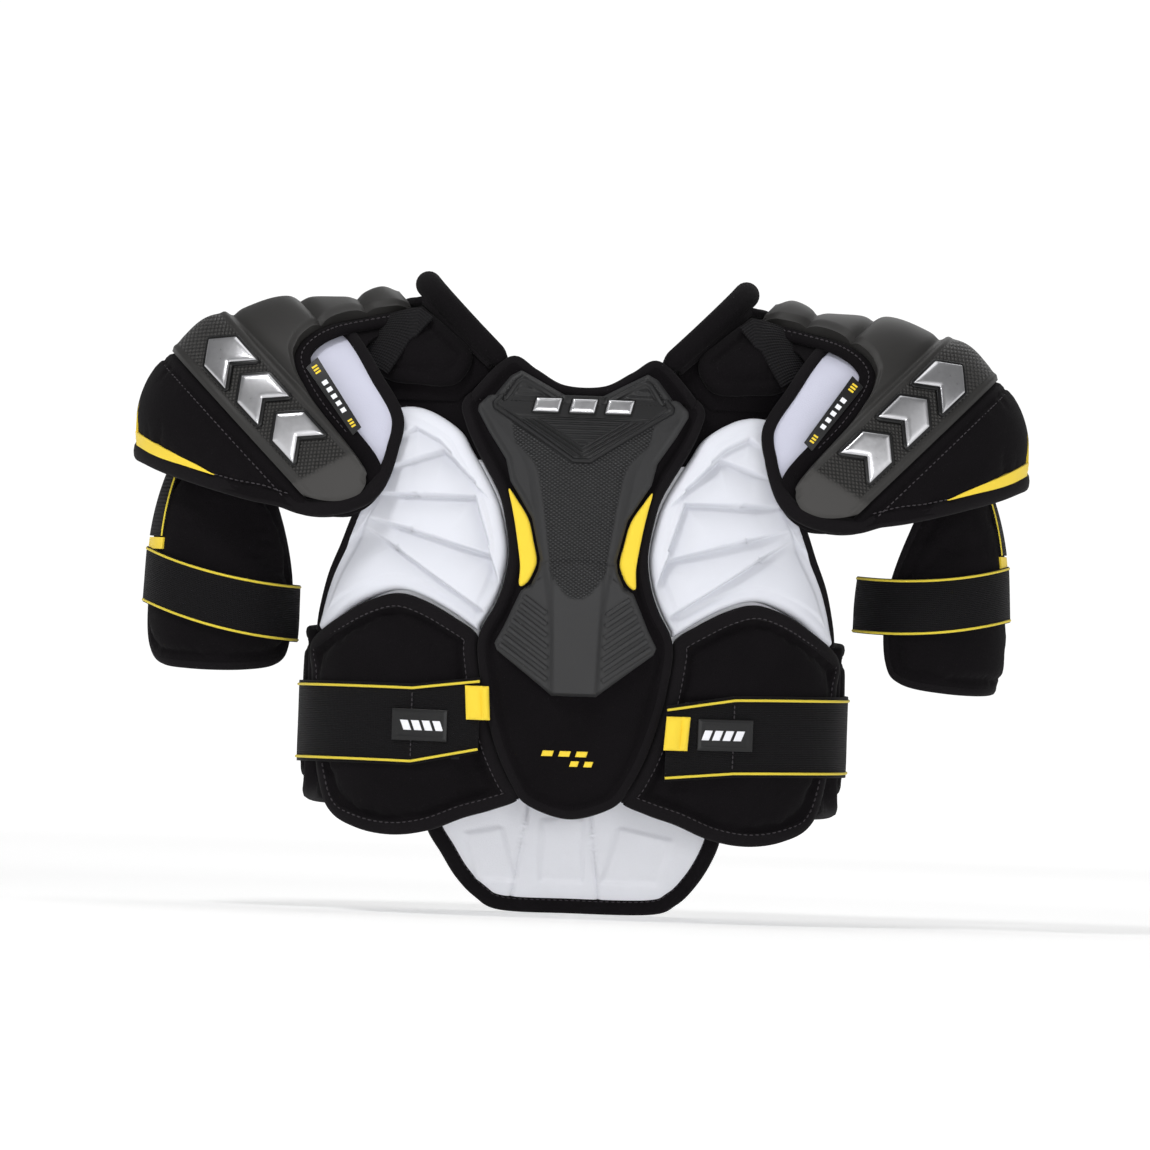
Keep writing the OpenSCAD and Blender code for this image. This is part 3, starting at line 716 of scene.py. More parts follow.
SPINE = mirrored([[0, 98], [28, 102], [40, 118], [44, 148], [42, 198], [41, 248], [44, 308], [54, 350],
                  [64, 366], [50, 376], [28, 372], [12, 366]])
SPINE_PLATE = mirrored([[12, 116], [30, 138], [32, 188], [30, 248], [33, 308], [44, 348], [46, 362],
                        [20, 322]])
TAIL = [[0, 0], [48, 1], [66, 10], [80, 24], [91, 41], [101, 57], [106, 76], [98, 90], [72, 96], [40, 97.5],
        [-40, 97.5], [-72, 96], [-98, 88], [-108, 74], [-108, 57], [-102, 40], [-92, 23], [-79, 9], [-60, 1]]
GUARD = [[-84, 192], [-70, 178], [-30, 172.5], [20, 172], [62, 176], [84, 191], [90, 222], [85, 262],
         [66, 302], [44, 330], [10, 340], [-26, 334], [-52, 310], [-74, 272], [-85, 232]]
# Heights of the layers above the liner and above the form
LINER, PAD_LOW = 1.3, 2.6
PAD_TOP = PAD_LOW + 11.5
CENTRE_TOP = PAD_LOW + 16
PLATE_LOW = CENTRE_TOP + 0.5
STRAP_LOW = PAD_TOP + 2.1
STRAP_HIGH = STRAP_LOW + 2.5


# ---- Sternum ----

BADGE_Z = 360.5
COLUMN = [[150, 16], [228, 19.5], [256, 24.5], [275, 27.5], [300, 31], [321, 36], [345, 52], [365, 70]]
PLATEAU = [[150, 15], [230, 17.5], [256, 19], [275, 21], [300, 25], [321, 30], [340, 46], [365, 64]]
TEXTURE = [[228, 11], [236, 17.5], [256, 20], [275, 23], [300, 27], [321, 33], [340, 50], [365, 66]]


def plate_relief(a, b, d):
    """Column with a plateau down the middle, a crease across it and sunk trays beside its upper part."""
    x, z = np.abs(a), b
    column = table(COLUMN, z)
    inner = step(column - x, -2.2, 2.2)
    plateau = step(table(PLATEAU, z) - x, -1.5, 1.5)
    crease = -0.9 * np.exp(-((z - 256 + 0.10 * x) / 1.1) ** 2) * (x < 26)
    tray = -1.0 * step(d, 1.5, 5) * (z > 262) * step(x - column, 1, 4)
    swelling = 1.6 * np.clip((58 - x) / 40, 0, 1)
    return swelling + 1.6 * inner + 1.2 * plateau + crease + tray - 0.6 * step(z, 256, 262) * inner


def plate_texture(a, b, d):
    x, z = np.abs(a), b
    return step(table(TEXTURE, z) - x, -1, 1) * step(z - (228 + 0.05 * x ** 2), 0, 2) * step(d, 2.5, 5)


def badge_relief(a, b, d):
    """Raised frame and fine lines that follow the badge's lower point, round a smooth band."""
    x, z = np.abs(a), b
    vee = z - 0.62 * x
    level = np.where(z > 351, z, np.where(vee > 333, z, vee))
    wave = np.abs(((level / 3.1) % 1) - 0.5) * 2
    lined = step(np.abs(z - BADGE_Z), 6.6, 7.6)
    rim = 1.2 * (1 - step(d, 2.6, 4.0))
    return rim + (1.1 * step(wave, 0.2, 0.8) * lined + 0.5 * (1 - lined)) * step(d, 4.2, 5.2)


def plate_ribs(side, name):
    """Slanted ribs on the lower corner of the plate, each kept where it lies well inside."""
    x = np.linspace(14, 60, 120)
    for k in range(8):
        z = 163.5 + 7.6 * k + 0.73 * (x - 19)
        beside_column = x > table(COLUMN[:3], z) + 2.6
        inside = (x < 52 - 0.447 * (z - 196)) & (z - 160 > 0.80 * (x - 15.6) + 3.0)
        keep = beside_column & inside
        if keep.sum() < 12:
            continue
        line = np.stack([x[keep], z[keep]], -1)
        rib = sweep(f"{name}_plate_rib_{k + 1}", front_base, line, PLATE_LOW + 4.3, 3.9, 3.4, side,
                    closed=False, square=2.6)
        finish(rib, "charcoal", "torso")


def sternum():
    edge = spline(STERNUM, 420)
    centre = [0, 262]
    seam = channel(2.2, 9.5, 2.2)
    body = pad("sternum_pad", front_base, edge, centre, PAD_LOW, CENTRE_TOP - 1.2, rings=40, floor=0.5,
               relief=lambda a, b, d: seam(a, b, d) + 0.5 * step(d, 9, 18))
    finish(body, "black", "torso", ["sternum_pad"])
    tape("sternum_binding", front_base, edge, centre, 3.2, PAD_LOW + 8.0, 9.0, 14.0)
    stitches("sternum_stitches", front_base, inset(edge, front_base, 7.0, centre), PAD_LOW + 13.2)
    plate = pad("sternum_plate", front_base, corners(PLATE, 560), centre, PLATE_LOW, PLATE_LOW + 3.2,
                roll=2.6, rings=84, floor=0.3, relief=plate_relief, mask=plate_texture, sharp=40)
    finish(plate, "charcoal", "torso", ["sternum_plate"])
    for side, name in SIDES:
        plate_ribs(side, name)
    badge = pad("neck_badge", front_base, corners(BADGE, 260), [0, 352], PLATE_LOW + 5.2, PLATE_LOW + 7.6,
                roll=1.6, rings=110, floor=0.3, relief=badge_relief)
    finish(badge, "badge", "torso", ["neck_badge"])
    # three plain slanted bars on the badge, each in a dark rim
    for k, x in enumerate((-25, 0, 25)):
        outline = corners(slanted(x, BADGE_Z, 8.8, 4.6, 1.2), 96)
        rim = pad(f"badge_bar_rim_{k + 1}", front_base, inset(outline, front_base, -1.1, [x, BADGE_Z]),
                  [x, BADGE_Z], PLATE_LOW + 7.9, PLATE_LOW + 9.2, roll=1.0, rings=6, floor=0.3)
        finish(rim, "rim", "torso")
        bar = pad(f"badge_bar_{k + 1}", front_base, outline, [x, BADGE_Z], PLATE_LOW + 9.0, PLATE_LOW + 11.0,
                  roll=3.4, rings=14, floor=0.25, sharp=28)
        finish(bar, "chrome", "torso", ["badge_trim"] if k == 0 else ())
    for side, name in SIDES:
        gem = pad(name + "_sternum_insert", front_base, spline(INSERT, 150), [37.5, 264], CENTRE_TOP - 1.0,
                  CENTRE_TOP + 2.6, side, roll=3.5, rings=14, floor=0.3)
        finish(gem, "yellow", "torso", [name + "_sternum_insert"])
    # small plain slashes low on the pad
    for k, (x, z, width) in enumerate(((-17, 119, 9), (-5, 119, 9), (7, 119, 9), (2, 112, 7), (12, 112, 7))):
        outline = corners(slanted(x, z, width / 2 - 0.6, 2, 0.6), 40)
        dash = pad(f"sternum_dash_{k + 1}", front_base, outline, [x, z], CENTRE_TOP - 1.0, CENTRE_TOP + 0.4,
                   roll=0.8, rings=4, floor=0.5)
        finish(dash, "yellow", "torso")


# ---- Chest and ribs ----

# Lines that the chest pad steps down along, with the depth of each
GROOVES = [
    ([[134, 331], [115, 344], [100, 336], [92, 328]], 4.2),
    ([[139, 313], [97, 329], [75, 308]], 5.4),
    ([[144.5, 297.5], [74.5, 297.5], [64, 265.5]], 6.0),
    ([[146, 281.5], [63, 257], [54, 233.5]], 6.0),
    ([[149, 275.5], [65, 216.5]], 5.6),
    ([[182.5, 219], [154, 268]], 3.4),
]


def fan(a, b, d):
    """Steps that spread from the armpit towards the sternum, each sunk on its lower side."""
    q = np.stack([a, b], -1)
    out = 1.0 * step(d, 8, 12)
    for line, depth in GROOVES:
        line = np.array(line, float)
        away = np.full(a.shape, 1e9)
        facing = np.zeros(a.shape)
        for p0, p1 in zip(line[:-1], line[1:]):
            v = p1 - p0
            t = np.clip(((q - p0) * v).sum(-1) / (v @ v), 0, 1)
            r = q - p0 - t[..., None] * v
            far = np.linalg.norm(r, axis=-1)
            facing = np.where(far < away, np.sign(v[0] * r[..., 1] - v[1] * r[..., 0]), facing)
            away = np.minimum(away, far)
        sunk = np.where(facing > 0, np.exp(-(away / 11) ** 1.2), 1 - step(away, 0.0, 2.2))
        out = out - depth * sunk * np.minimum(1, np.linalg.norm(q - line[0], axis=-1) / 22)
    return out


def chest():
    outer = spline([[128, 359.5], [132, 356], [134, 345], [137, 326], [144, 304], [153.5, 283], [160.5, 262],
                    [168, 240], [173, 215], [174.5, 200]], 150, closed=False)
    for side, name in SIDES:
        # the mask paints shade into the grooves of the fan, darker where they sink deeper
        foam = pad(name + "_chest_pad", front_base, spline(CHEST, 460), [108, 285], PAD_LOW, PAD_TOP - 1.0,
                   side, rings=90, relief=fan, mask=lambda a, b,
                   d: np.clip(step(d, 8, 12) - fan(a, b, d), 0, 6) / 6)
        finish(foam, "foam", "torso", [name + "_chest_pad"])
        # binding down the outer edge, from the shoulder to the rib pad
        band = sweep(name + "_chest_binding", front_base, outer, PAD_LOW + 5.2, 7.0, 10.5, side, closed=False,
                     square=2.8)
        finish(band, "binding", "torso")


def ribs():
    edge = spline(RIB, 320)
    centre = [120, 145]
    for side, name in SIDES:
        rib = pad(name + "_rib_pad", front_base, edge, centre, PAD_LOW, PAD_TOP - 1.2, side, rings=40,
                  floor=0.4, relief=channel(1.6, 12, 2.4))
        puff(rib, "rib", side)
        finish(rib, "black", "torso", [name + "_rib_pad"])
        tape(name + "_rib_binding", front_base, edge, centre, 3.6, PAD_LOW + 6.6, 10.5, 11.6, side,
             square=3.0)
        stitches(name + "_rib_stitches", front_base, inset(edge, front_base, 7.6, centre), PAD_LOW + 11.2,
                 side)
        z, x = grid(112, 158, 24, 78, 156, 60)
        patch = sheet(name + "_rib_loop_patch", front_base, x, z, PAD_TOP + 0.2, PAD_TOP + 1.1, side)
        finish(patch, "patch", "torso", [name + "_rib_loop_patch"])


# ---- Shoulders ----

def collar(side, name):
    """Neck roll with tapered ends, and a piping on its outer side."""
    first, last, taper = 19, 161, 5
    a = np.linspace(first, last, 150)
    bulge = np.sin(np.radians(a))
    x = 29 + 86 * bulge
    to_end = np.clip(np.minimum(a - first, last - a) / taper, 0.05, 1)
    full = (0.86 + 0.22 * bulge ** 2) * np.sqrt(1 - (1 - to_end) ** 2)
    roll = sweep(name + "_collar_roll", yoke_base, np.stack([x, a], -1), 12.4, 17.5 * full, 18.0 * full, side,
                 closed=False, sides=24)
    finish(roll, "black", "torso", [name + "_collar_roll"])
    piping = sweep(name + "_collar_piping", yoke_base, np.stack([x + 9.4, a], -1), 7.2, 6.0, 7.0, side,
                   closed=False)
    finish(piping, "binding", "torso")


def yoke(side, name):
    """Cover over the shoulder, and the flat pieces that close it against the front and back."""
    a, v = grid(0, 174, 90, 0, 1, 30)
    neck = np.maximum(90 - 80 * np.sin(np.radians(a)), 38 + 84 * np.sin(np.radians(a)))
    cover = sheet(name + "_yoke_pad", yoke_base, neck + (150.5 - neck) * v, a, 0.0,
                  3.4 + 1.6 * np.sin(np.pi * v) ** 0.5, side)
    finish(cover, "black", "torso", [name + "_yoke_pad"])
    z, x = grid(326, 370, 26, 50, 144, 40)
    front = sheet(name + "_yoke_front", front_base, x, z, 0.2 + 1.2 * step(362 - z, 0, 4), 2.4, side)
    z, x = grid(322, 372, 26, 52, 136, 40)
    rear = sheet(name + "_yoke_rear", rear_base, x, z, 1.5, 2.5, -side)
    z, x = grid(364, 392, 16, 48, 88, 14)
    corner = sheet(name + "_yoke_corner", front_base, x, z, 0.2, 2.4, side)
    for piece in (front, rear, corner):
        finish(piece, "black", "torso")


def shoulders():
    webbing = np.array([[107, 41], [132, 14], [149, 30], [130, 56]], float)
    for side, name in SIDES:
        collar(side, name)
        yoke(side, name)
        clavicle = pad(name + "_clavicle_pad", yoke_base, spline(CLAVICLE, 220), [118, 34], 6.5, 14.5, side,
                       roll=9, rings=30, floor=0.25, crown=1.5, relief=channel(1.5, 9, 2.0))
        puff(clavicle, "clavicle", side, 3.0)
        finish(clavicle, "black", "torso", [name + "_clavicle_pad"])
        u, w = (part[..., None] for part in grid(0, 1, 40, 0, 1, 26))
        spot = (webbing[0] * (1 - u) + webbing[1] * u) * (1 - w) + (webbing[3] * (1 - u) + webbing[2] * u) * w
        band = sheet(name + "_yoke_webbing", yoke_base, spot[..., 0], spot[..., 1], 17.2, 19.0, side,
                     uv=np.concatenate([w * 34, u * 58], -1))
        finish(band, "webbing", "torso", [name + "_yoke_webbing"])


# ---- Back ----

def slats(a, b, d):
    wave = np.abs((((b - 0.35 * np.abs(a)) / 30) % 1) - 0.5) * 2
    return 1.4 * step(wave, 0.12, 0.28) * step(d, 2, 5) + 1.2 * step(11 - np.abs(a), 0, 4)


def spine():
    edge = spline(SPINE, 320)
    centre = [0, 240]
    body = pad("spine_pad", rear_base, edge, centre, PAD_LOW, CENTRE_TOP - 1.0, floor=0.5,
               relief=channel(1.8, 9.5, 2.2))
    finish(body, "black", "torso", ["spine_pad"])
    tape("spine_binding", rear_base, edge, centre, 3.0, PAD_LOW + 8, 9, 14)
    plate = pad("spine_plate", rear_base, corners(SPINE_PLATE, 360), centre, CENTRE_TOP + 0.3,
                CENTRE_TOP + 3.2, roll=2.4, rings=60, floor=0.3, relief=slats, mask=lambda a, b,
                d: step(9 - np.abs(a), 0, 1) * step(d, 4, 6))
    finish(plate, "charcoal", "torso", ["spine_plate"])


def back_pads():
    back_centre, wing_centre = [104, 286], [116, 138]
    seam = channel(1.6, 11, 2.2)

    def quilted(a, b, d):
        return seam(a, b, d) - 1.6 * np.exp(-(((b - 0.5 * a - 232) % 44 - 22) / 2.0) ** 2) * step(d, 11, 16)

    for side, name in SIDES:
        edge = spline(BACK, 280)
        back = pad(name + "_back_pad", rear_base, edge, back_centre, PAD_LOW, PAD_TOP - 1.4, -side, floor=0.4,
                   relief=quilted)
        puff(back, "back", side)
        finish(back, "black", "torso", [name + "_back_pad"])
        tape(name + "_back_binding", rear_base, edge, back_centre, 3.2, PAD_LOW + 6, 9, 11, -side)
        edge = spline(WING, 300)
        wing = pad(name + "_side_wing", ring_base, edge, wing_centre, PAD_LOW + 0.3, PAD_TOP - 1.4, side,
                   floor=0.4, relief=channel(1.4, 11, 2.2))
        puff(wing, "wing", side, 2.5)
        finish(wing, "black", "torso", [name + "_side_wing"])
        tape(name + "_wing_binding", ring_base, edge, wing_centre, 3.2, PAD_LOW + 6, 9, 11, side)


# Where each seam of the tail stands at its top and at its bottom
TAIL_SEAMS = ((-14, -24), (29, 42))
TAIL_SEAM_TOP = 85


def seam_at(seam, z):
    return seam[1] + (seam[0] - seam[1]) * z / TAIL_SEAM_TOP


def tail_relief(a, b, d):
    """Two raised seams, and a sunk panel on each side of them and between them."""
    out = 2.0 * np.maximum(*(np.exp(-((a - seam_at(seam, b)) / 1.1) ** 2) for seam in TAIL_SEAMS))
    for x0, x1, lean in ((-76, -31, 0.30), (-13, 22, 0.0), (44, 76, -0.30)):
        q = a - lean * (50 - b)
        tall = np.minimum(b - 20, 72 - b - 0.2 * np.abs(a))
        out = out - 2.6 * step(np.minimum(q - x0, x1 - q), 0, 4) * step(tall, 0, 4)
    return out


def tail():
    body = pad("tail_pad", rear_base, spline(TAIL, 300), [0, 50], 8.0, 1.6, roll=9, rings=64, floor=0.25,
               relief=tail_relief)
    finish(body, "lining", "torso", ["tail_pad"])
    lower = spline(TAIL[-7:] + TAIL[:8], 260, closed=False)
    band = sweep("tail_binding", rear_base, pull_in(lower, [0, 60], 4.6), 4.4, 11.5, 8.6, closed=False,
                 square=3.0)
    finish(band, "binding", "torso")
    # the tail is seen from its inner side, so its stitches stand inwards
    stitches("tail_stitches", rear_base, pull_in(lower, [0, 60], 8.4), 0.1, closed=False, thick=-0.7)
    z = np.linspace(10, 84, 60)
    for k, seam in enumerate(TAIL_SEAMS):
        stitches(f"tail_seam_{k + 1}", rear_base, np.stack([seam_at(seam, z), z], -1), 2.3, look="lining",
                 closed=False, thick=-0.5, pitch=3.4, length=1.8)


def liners():
    """Full-width smooth sheets inside the pads, and the strip that joins the tail to the back."""
    front = [[88, 160], [180, 170], [215, 166], [290, 140], [358, 132]]
    rear = [[98, 134], [215, 134], [290, 130], [368, 118]]
    for name, base, rows in (("front_liner", front_base, front), ("back_liner", rear_base, rear)):
        z, v = grid(rows[0][0], rows[-1][0], 60, -1, 1, 90)
        finish(sheet(name, base, table(rows, z) * v, z, 0.0, LINER), "lining", "torso", [name])
    z, x = grid(88, 98.5, 8, -62, 62, 30)
    finish(sheet("tail_join", rear_base, x, z, 0.0, LINER), "lining", "torso")


def hang_loop():
    """Webbing loop as a bent flat strip."""
    half_wide, half_thick, half_deep, half_tall = 7, 0.7, 3.2, 16.2
    y0, z0 = rear_depth(346) + CENTRE_TOP + 4.9, 349
    turn = np.linspace(0, 2 * math.pi, 90, endpoint=False)
    n = len(turn)
    y = half_deep * np.cos(turn)
    z = half_tall * np.sign(np.sin(turn)) * np.abs(np.sin(turn)) ** 0.8
    out = np.stack([y, z * 0.2], -1)
    out /= np.maximum(np.linalg.norm(out, axis=1, keepdims=True), 1e-6)
    strips = []
    for w, k in ((1, 1), (1, -1), (-1, -1), (-1, 1)):
        strips.append(np.stack([np.full(n, half_wide * w), y0 + y + out[:, 0] * k * half_thick,
                                z0 + z + out[:, 1] * k * half_thick], -1))
    faces = []
    for c in range(4):
        p, q = c * n, (c + 1) % 4 * n
        faces += [(p + i, p + (i + 1) % n, q + (i + 1) % n, q + i) for i in range(n)]
    uv = np.stack([np.tile(np.arange(n) * 0.8, 4), np.repeat([0, 1, 14, 15], n)], -1)
    finish(make("hang_loop", np.concatenate(strips), faces, 1, uv, sharp=40), "elastic", "torso",
           ["hang_loop"])


# ---- Belly straps ----

BELLY_Z, BELLY_HALF = 135, 29


def belly_strap(side, name, body):
    """Elastic whose stiff sewn end leans a little, with two yellow edge threads."""
    end_length, end_x, torso_half = 46, 65, 181
    first = math.degrees(math.asin((end_x / torso_half) ** (TORSO_POWER / 2)))
    a, v = grid(first, 114, 170, -1, 1, 40)
    way = along(ring_base(a[:, 0], np.full(170, BELLY_Z)))
    u = np.repeat(way[:, None], 40, 1)
    stiff = 1 - step(u, end_length - 2, end_length + 1)
    bend = over(end_length - u)
    slant = 0.20 * bend if side < 0 else -0.10 * bend - 2.0 + u * 0.02
    z = BELLY_Z + v * BELLY_HALF * (1 - 0.0016 * bend) + slant + 0.8 * np.sin(u / 40)
    lift = 0.7 * stiff + 0.25 * np.sin(u / 9) * np.sin(v * 3)
    strap = sheet(name + "_belly_strap", ring_base, a, z, STRAP_LOW - 0.2, STRAP_HIGH - 1.0 + over(lift),
                  side, uv=np.stack([u, v * BELLY_HALF], -1))
    finish(strap, "elastic", body, [name + "_belly_strap"])
    for k, col in ((1, 37), (2, 2)):
        cord = sweep(f"{name}_belly_line_{k}", ring_base, np.stack([a[:, col], z[:, col]], -1),
                     STRAP_HIGH - 0.4 + 0.9 * stiff[:, 0], 1.9, 1.5, side, closed=False, sides=8)
        finish(cord, "yellow_thread", body)
    row = int(np.argmin(np.abs(way - end_length)))
    stitches(f"{name}_belly_end_stitches", ring_base, np.stack([a[row], z[row]], -1)[4:-4], STRAP_HIGH + 0.1,
             side, body, closed=False, pitch=3.4)


def belly_tab(side, name, body):
    """Folded yellow pull tab: a narrow roll and a wide one across its height."""
    x0, low = (64, 124) if side > 0 else (58, 141)
    z, x = grid(low, low + 24, 26, x0, x0 + 16, 22)
    x = x + (z - low - 12) * 0.06
    f = np.linspace(0, 1, 22) if side < 0 else np.linspace(1, 0, 22)
    bulge = 2.6 * np.where(f < 0.32, np.sin(np.pi * f / 0.32), 0.9 * np.sin(np.pi * (f - 0.32) / 0.68)) ** 0.6
    bulge = bulge * np.sin(np.pi * np.linspace(0, 1, 26))[:, None] ** 0.3
    tab = sheet(name + "_belly_tab", front_base, x, z, STRAP_HIGH + 0.4, STRAP_HIGH + 1.4 + bulge, side)
    finish(tab, "yellow", body, [name + "_belly_tab"])


def belly_label(side, name, body):
    """Label with a raised border and four plain marks."""
    outline = corners([[86, 124.5], [122, 124.5], [122, 147], [86, 147]], 160)
    label = pad(name + "_belly_label", front_base, outline, [104, 135.7], STRAP_HIGH + 0.2, STRAP_HIGH + 1.2,
                side, roll=1.2, rings=14, floor=0.5, relief=channel(-0.5, 2.4, 0.8))
    finish(label, "badge", body, [name + "_belly_label"])
    for k in range(4):
        x = 92 + 7 * k
        mark = pad(f"{name}_belly_mark_{k + 1}", front_base, corners(slanted(x, 135.5, 2.5, 3.5, 1.2), 40),
                   [x, 135.5], STRAP_HIGH + 1.0, STRAP_HIGH + 1.8, side, roll=0.6, rings=3, floor=0.6)
        finish(mark, "lining", body)


def belly():
    for side, name in SIDES:
        for part in (belly_strap, belly_tab, belly_label):
            part(side, name, name + "_belly_flap")


# ---- Caps ----

# Lower edges of the cap's layers: how far each starts above the corner line, along s
HEM = [[-74, 102], [-71, 84], [-65, 63], [-57, 38], [-46, 24], [-22, 9], [-2, 2.5], [15, 6], [32, 16],
       [44, 28], [53, 44], [66, 62], [84, 93], [98, 120], [105, 140]]
SHELL_FRONT = [[-118, 84], [-85, 108], [-67, 118], [-49, 123], [-34, 122], [-24, 115], [-17, 98], [-12.5, 70],
               [-10.5, 40], [-8.5, 24], [-4, 15.5], [4, 10.5], [17, 13.5], [30, 25], [38, 37]]
BORDER = [[-112, 88.5], [-100, 98], [-85, 108], [-67, 118], [-49, 123], [-34, 122], [-24, 115], [-17, 98],
          [-12.5, 75], [-11, 50], [-9, 25], [-4, 15], [4, 10.5], [17, 13.5], [30, 25], [37, 36]]
ROOT = [[-112, 74], [-96, 84], [-84, 92], [-70, 90]]
BAND_START = -12
# Valleys between the humps of the shell, with the depth of each and the rise of the hump before it
VALLEYS = ((-87, 2.4, 1.0), (-57, 3.2, 1.8), (-14, 2.4, 2.2))


def cap_grid(first, last, rows, edge, cols, trim=0.0):
    """Grid over the cap between its front and back lower edges. s follows the rows."""
    s = np.linspace(first, last, rows)[:, None]
    low = cap_angle(s, table(edge, s) + trim)
    return np.repeat(s, cols, 1), low + (180 - 2 * low) * np.linspace(0, 1, cols)


def humps(s):
    """Padded bands across the shell, from its root to the moulded band."""
    out = np.zeros_like(s)
    start = -130
    for at, depth, rise in VALLEYS:
        f = np.clip((s - start) / (at - start), 0, 1)
        out = np.where((s >= start) & (s <= at), rise * np.sin(np.pi * f ** 0.8) ** 0.7, out)
        start = at
    out = out - 5.0 * (1 - step(s, -116, -103)) ** 1.5
    for at, depth, rise in VALLEYS:
        out = out - depth * np.exp(-np.abs((s - at) / 3.4) ** 1.5)
    return out


def cap_shell(side, name, body):
    """Moulded foam with humps, and below them a band with raised lips, a textured tray and a plain toe."""
    s, a = cap_grid(-115, 37.5, 230, SHELL_FRONT, 260)
    t = height_of(s, a)
    rim = t - table(SHELL_FRONT, s)
    band = step(s, BAND_START - 0.5, BAND_START + 1.5)
    toe = 1 - step(t - (35 + (s - BAND_START) * 12 / 47), -1.5, 1.5)
    lips = np.exp(-((s + 8.5) / 2.0) ** 2) + np.exp(-((s - 34) / 2.4) ** 2)
    h = humps(s) * (1 - band) + band * (0.3 + 1.1 * lips - 0.9 * np.exp(-(s + 11.5) ** 2) + 0.9 * toe)
    h = h - 2.2 * (1 - step(rim, 0, 5)) * (s < 0) - 1.2 * (1 - step(rim, 0, 3)) * (s >= 0)
    textured = band * step(s, -6.5, -4.5) * step(31.5 - s, 0, 2) * (1 - toe)
    shell = sheet(name + "_cap_shell", cap_base, s, a, -8.0, h, side, np.stack([t, s], -1), 50, mask=textured,
                  light=band * toe)
    finish(shell, "shell", body, [name + "_cap_shell"])


def cap_skirt(side, name, body):
    """Soft cover of the upper arm, with a seam along its hem and one beside the shell."""
    first, last = 38.2, 103.5
    s, a = cap_grid(first, last, 110, HEM, 220)
    t = height_of(s, a)
    up = t - table(HEM, s)
    seam = -1.2 * np.exp(-((up - 14.5) / 1.5) ** 2) * step(s, 40, 46) - 1.0 * np.exp(-((s - 46) / 1.4) ** 2)
    crown = 1.5 * np.sin(np.pi * np.clip((s - 38) / 66, 0, 1)) ** 0.6
    join = -1.6 * (1 - step(s, 38, 41))
    wrinkle = 0.25 * np.sin(t / 19 + s / 14) * np.sin(s / 15)
    inside = np.minimum(np.minimum(up, s - first), last - s)
    skirt = sheet(name + "_cap_skirt", cap_base, s, a, -8.0, crown + seam + join + wrinkle, side,
                  np.stack([t, s], -1), rim=inside)
    puff(skirt, "skirt", side, 1.5, 2.5, 0.03)
    finish(skirt, "black", body, [name + "_cap_skirt"])


def front_and_rear(s, angle):
    """The same line on the front and on the rear of the cap, each with its name."""
    return (("front", np.stack([s, angle], -1)), ("rear", np.stack([s, 180 - angle], -1)))


def cap_seams(side, name, body):
    hem = np.linspace(44, 99, 60)
    beside_shell = np.linspace(float(cap_angle(np.array(47.5), table(HEM, 47.5) + 12)), 78, 60)
    for (where, low), (_, high) in zip(front_and_rear(hem, cap_angle(hem, table(HEM, hem) + 16.5)),
                                       front_and_rear(np.full(60, 48.5), beside_shell)):
        stitches(f"{name}_cap_hem_stitches_{where}", cap_base, low, 1.3, side, body, closed=False)
        stitches(f"{name}_cap_band_stitches_{where}", cap_base, high, 0.9, side, body, closed=False)


def cap_linings(side, name, body):
    """Black lining and roll under the root, and the white liner and insert below the shell."""
    s, a = cap_grid(-108, -70, 40, ROOT, 120)
    finish(sheet(name + "_cap_root", cap_base, s, a, -14.0, -11.5, side), "black", body)
    first = float(cap_angle(np.array(-112.0), np.array(90.0)))
    a = np.linspace(first, 180 - first, 90)
    roll = sweep(name + "_cap_root_roll", cap_base, np.stack([np.full(90, -113.0), a], -1), -9.0, 8.0, 9.0,
                 side, closed=False)
    finish(roll, "binding", body)
    s, a = cap_grid(-73, 80, 120, HEM, 160, 2.0)
    liner = sheet(name + "_cap_liner", cap_base, s, a, -17.5, -13.5, side)
    finish(liner, "wing", body, [name + "_cap_liner"])
    s, a = cap_grid(-8, 62, 50, [[p, q + 20] for p, q in HEM], 100)
    insert = sheet(name + "_cap_insert", cap_base, s, a, -12.0, -9.5, side)
    finish(insert, "wing", body, [name + "_cap_insert"])


def cap_edges(side, name, body):
    """Binding round the wings and the hem, and a border between the shell and the wing, front and rear."""
    s, t = spline(HEM, 260, closed=False).T
    grow = step(s, -30, 5)
    end = step(s, 62, 96)
    bindings = front_and_rear(s, cap_angle(s, t + 3.0 + 2.0 * end))
    line = spline(BORDER, 260, closed=False)
    tangent = np.gradient(line, axis=0)
    tangent /= np.linalg.norm(tangent, axis=1, keepdims=True)
    p, q = line.T + 5.0 * np.stack([tangent[:, 1], -tangent[:, 0]])
    borders = front_and_rear(p, cap_angle(p, q))
    for (where, hem), (_, border), slim in zip(bindings, borders, (0.0, 2.5)):
        band = sweep(f"{name}_cap_binding_{where}", cap_base, hem,
                     -13.5 + (8.0 + slim / 2) * grow + 1.5 * end, 9.0 + 3.0 * grow + 4.5 * end,
                     8.0 + (5.0 - slim) * grow + 2.0 * end, side, closed=False, sides=16, square=2.5)
        finish(band, "binding", body)
        band = sweep(f"{name}_cap_border_{where}", cap_base, border, -8.5, 13.0, 6.0, side, closed=False,
                     sides=14, square=2.6)
        stitches(f"{name}_cap_border_stitches_{where}", cap_base, border[8:170], -5.3, side, body,
                 closed=False)
        finish(band, "black", body)


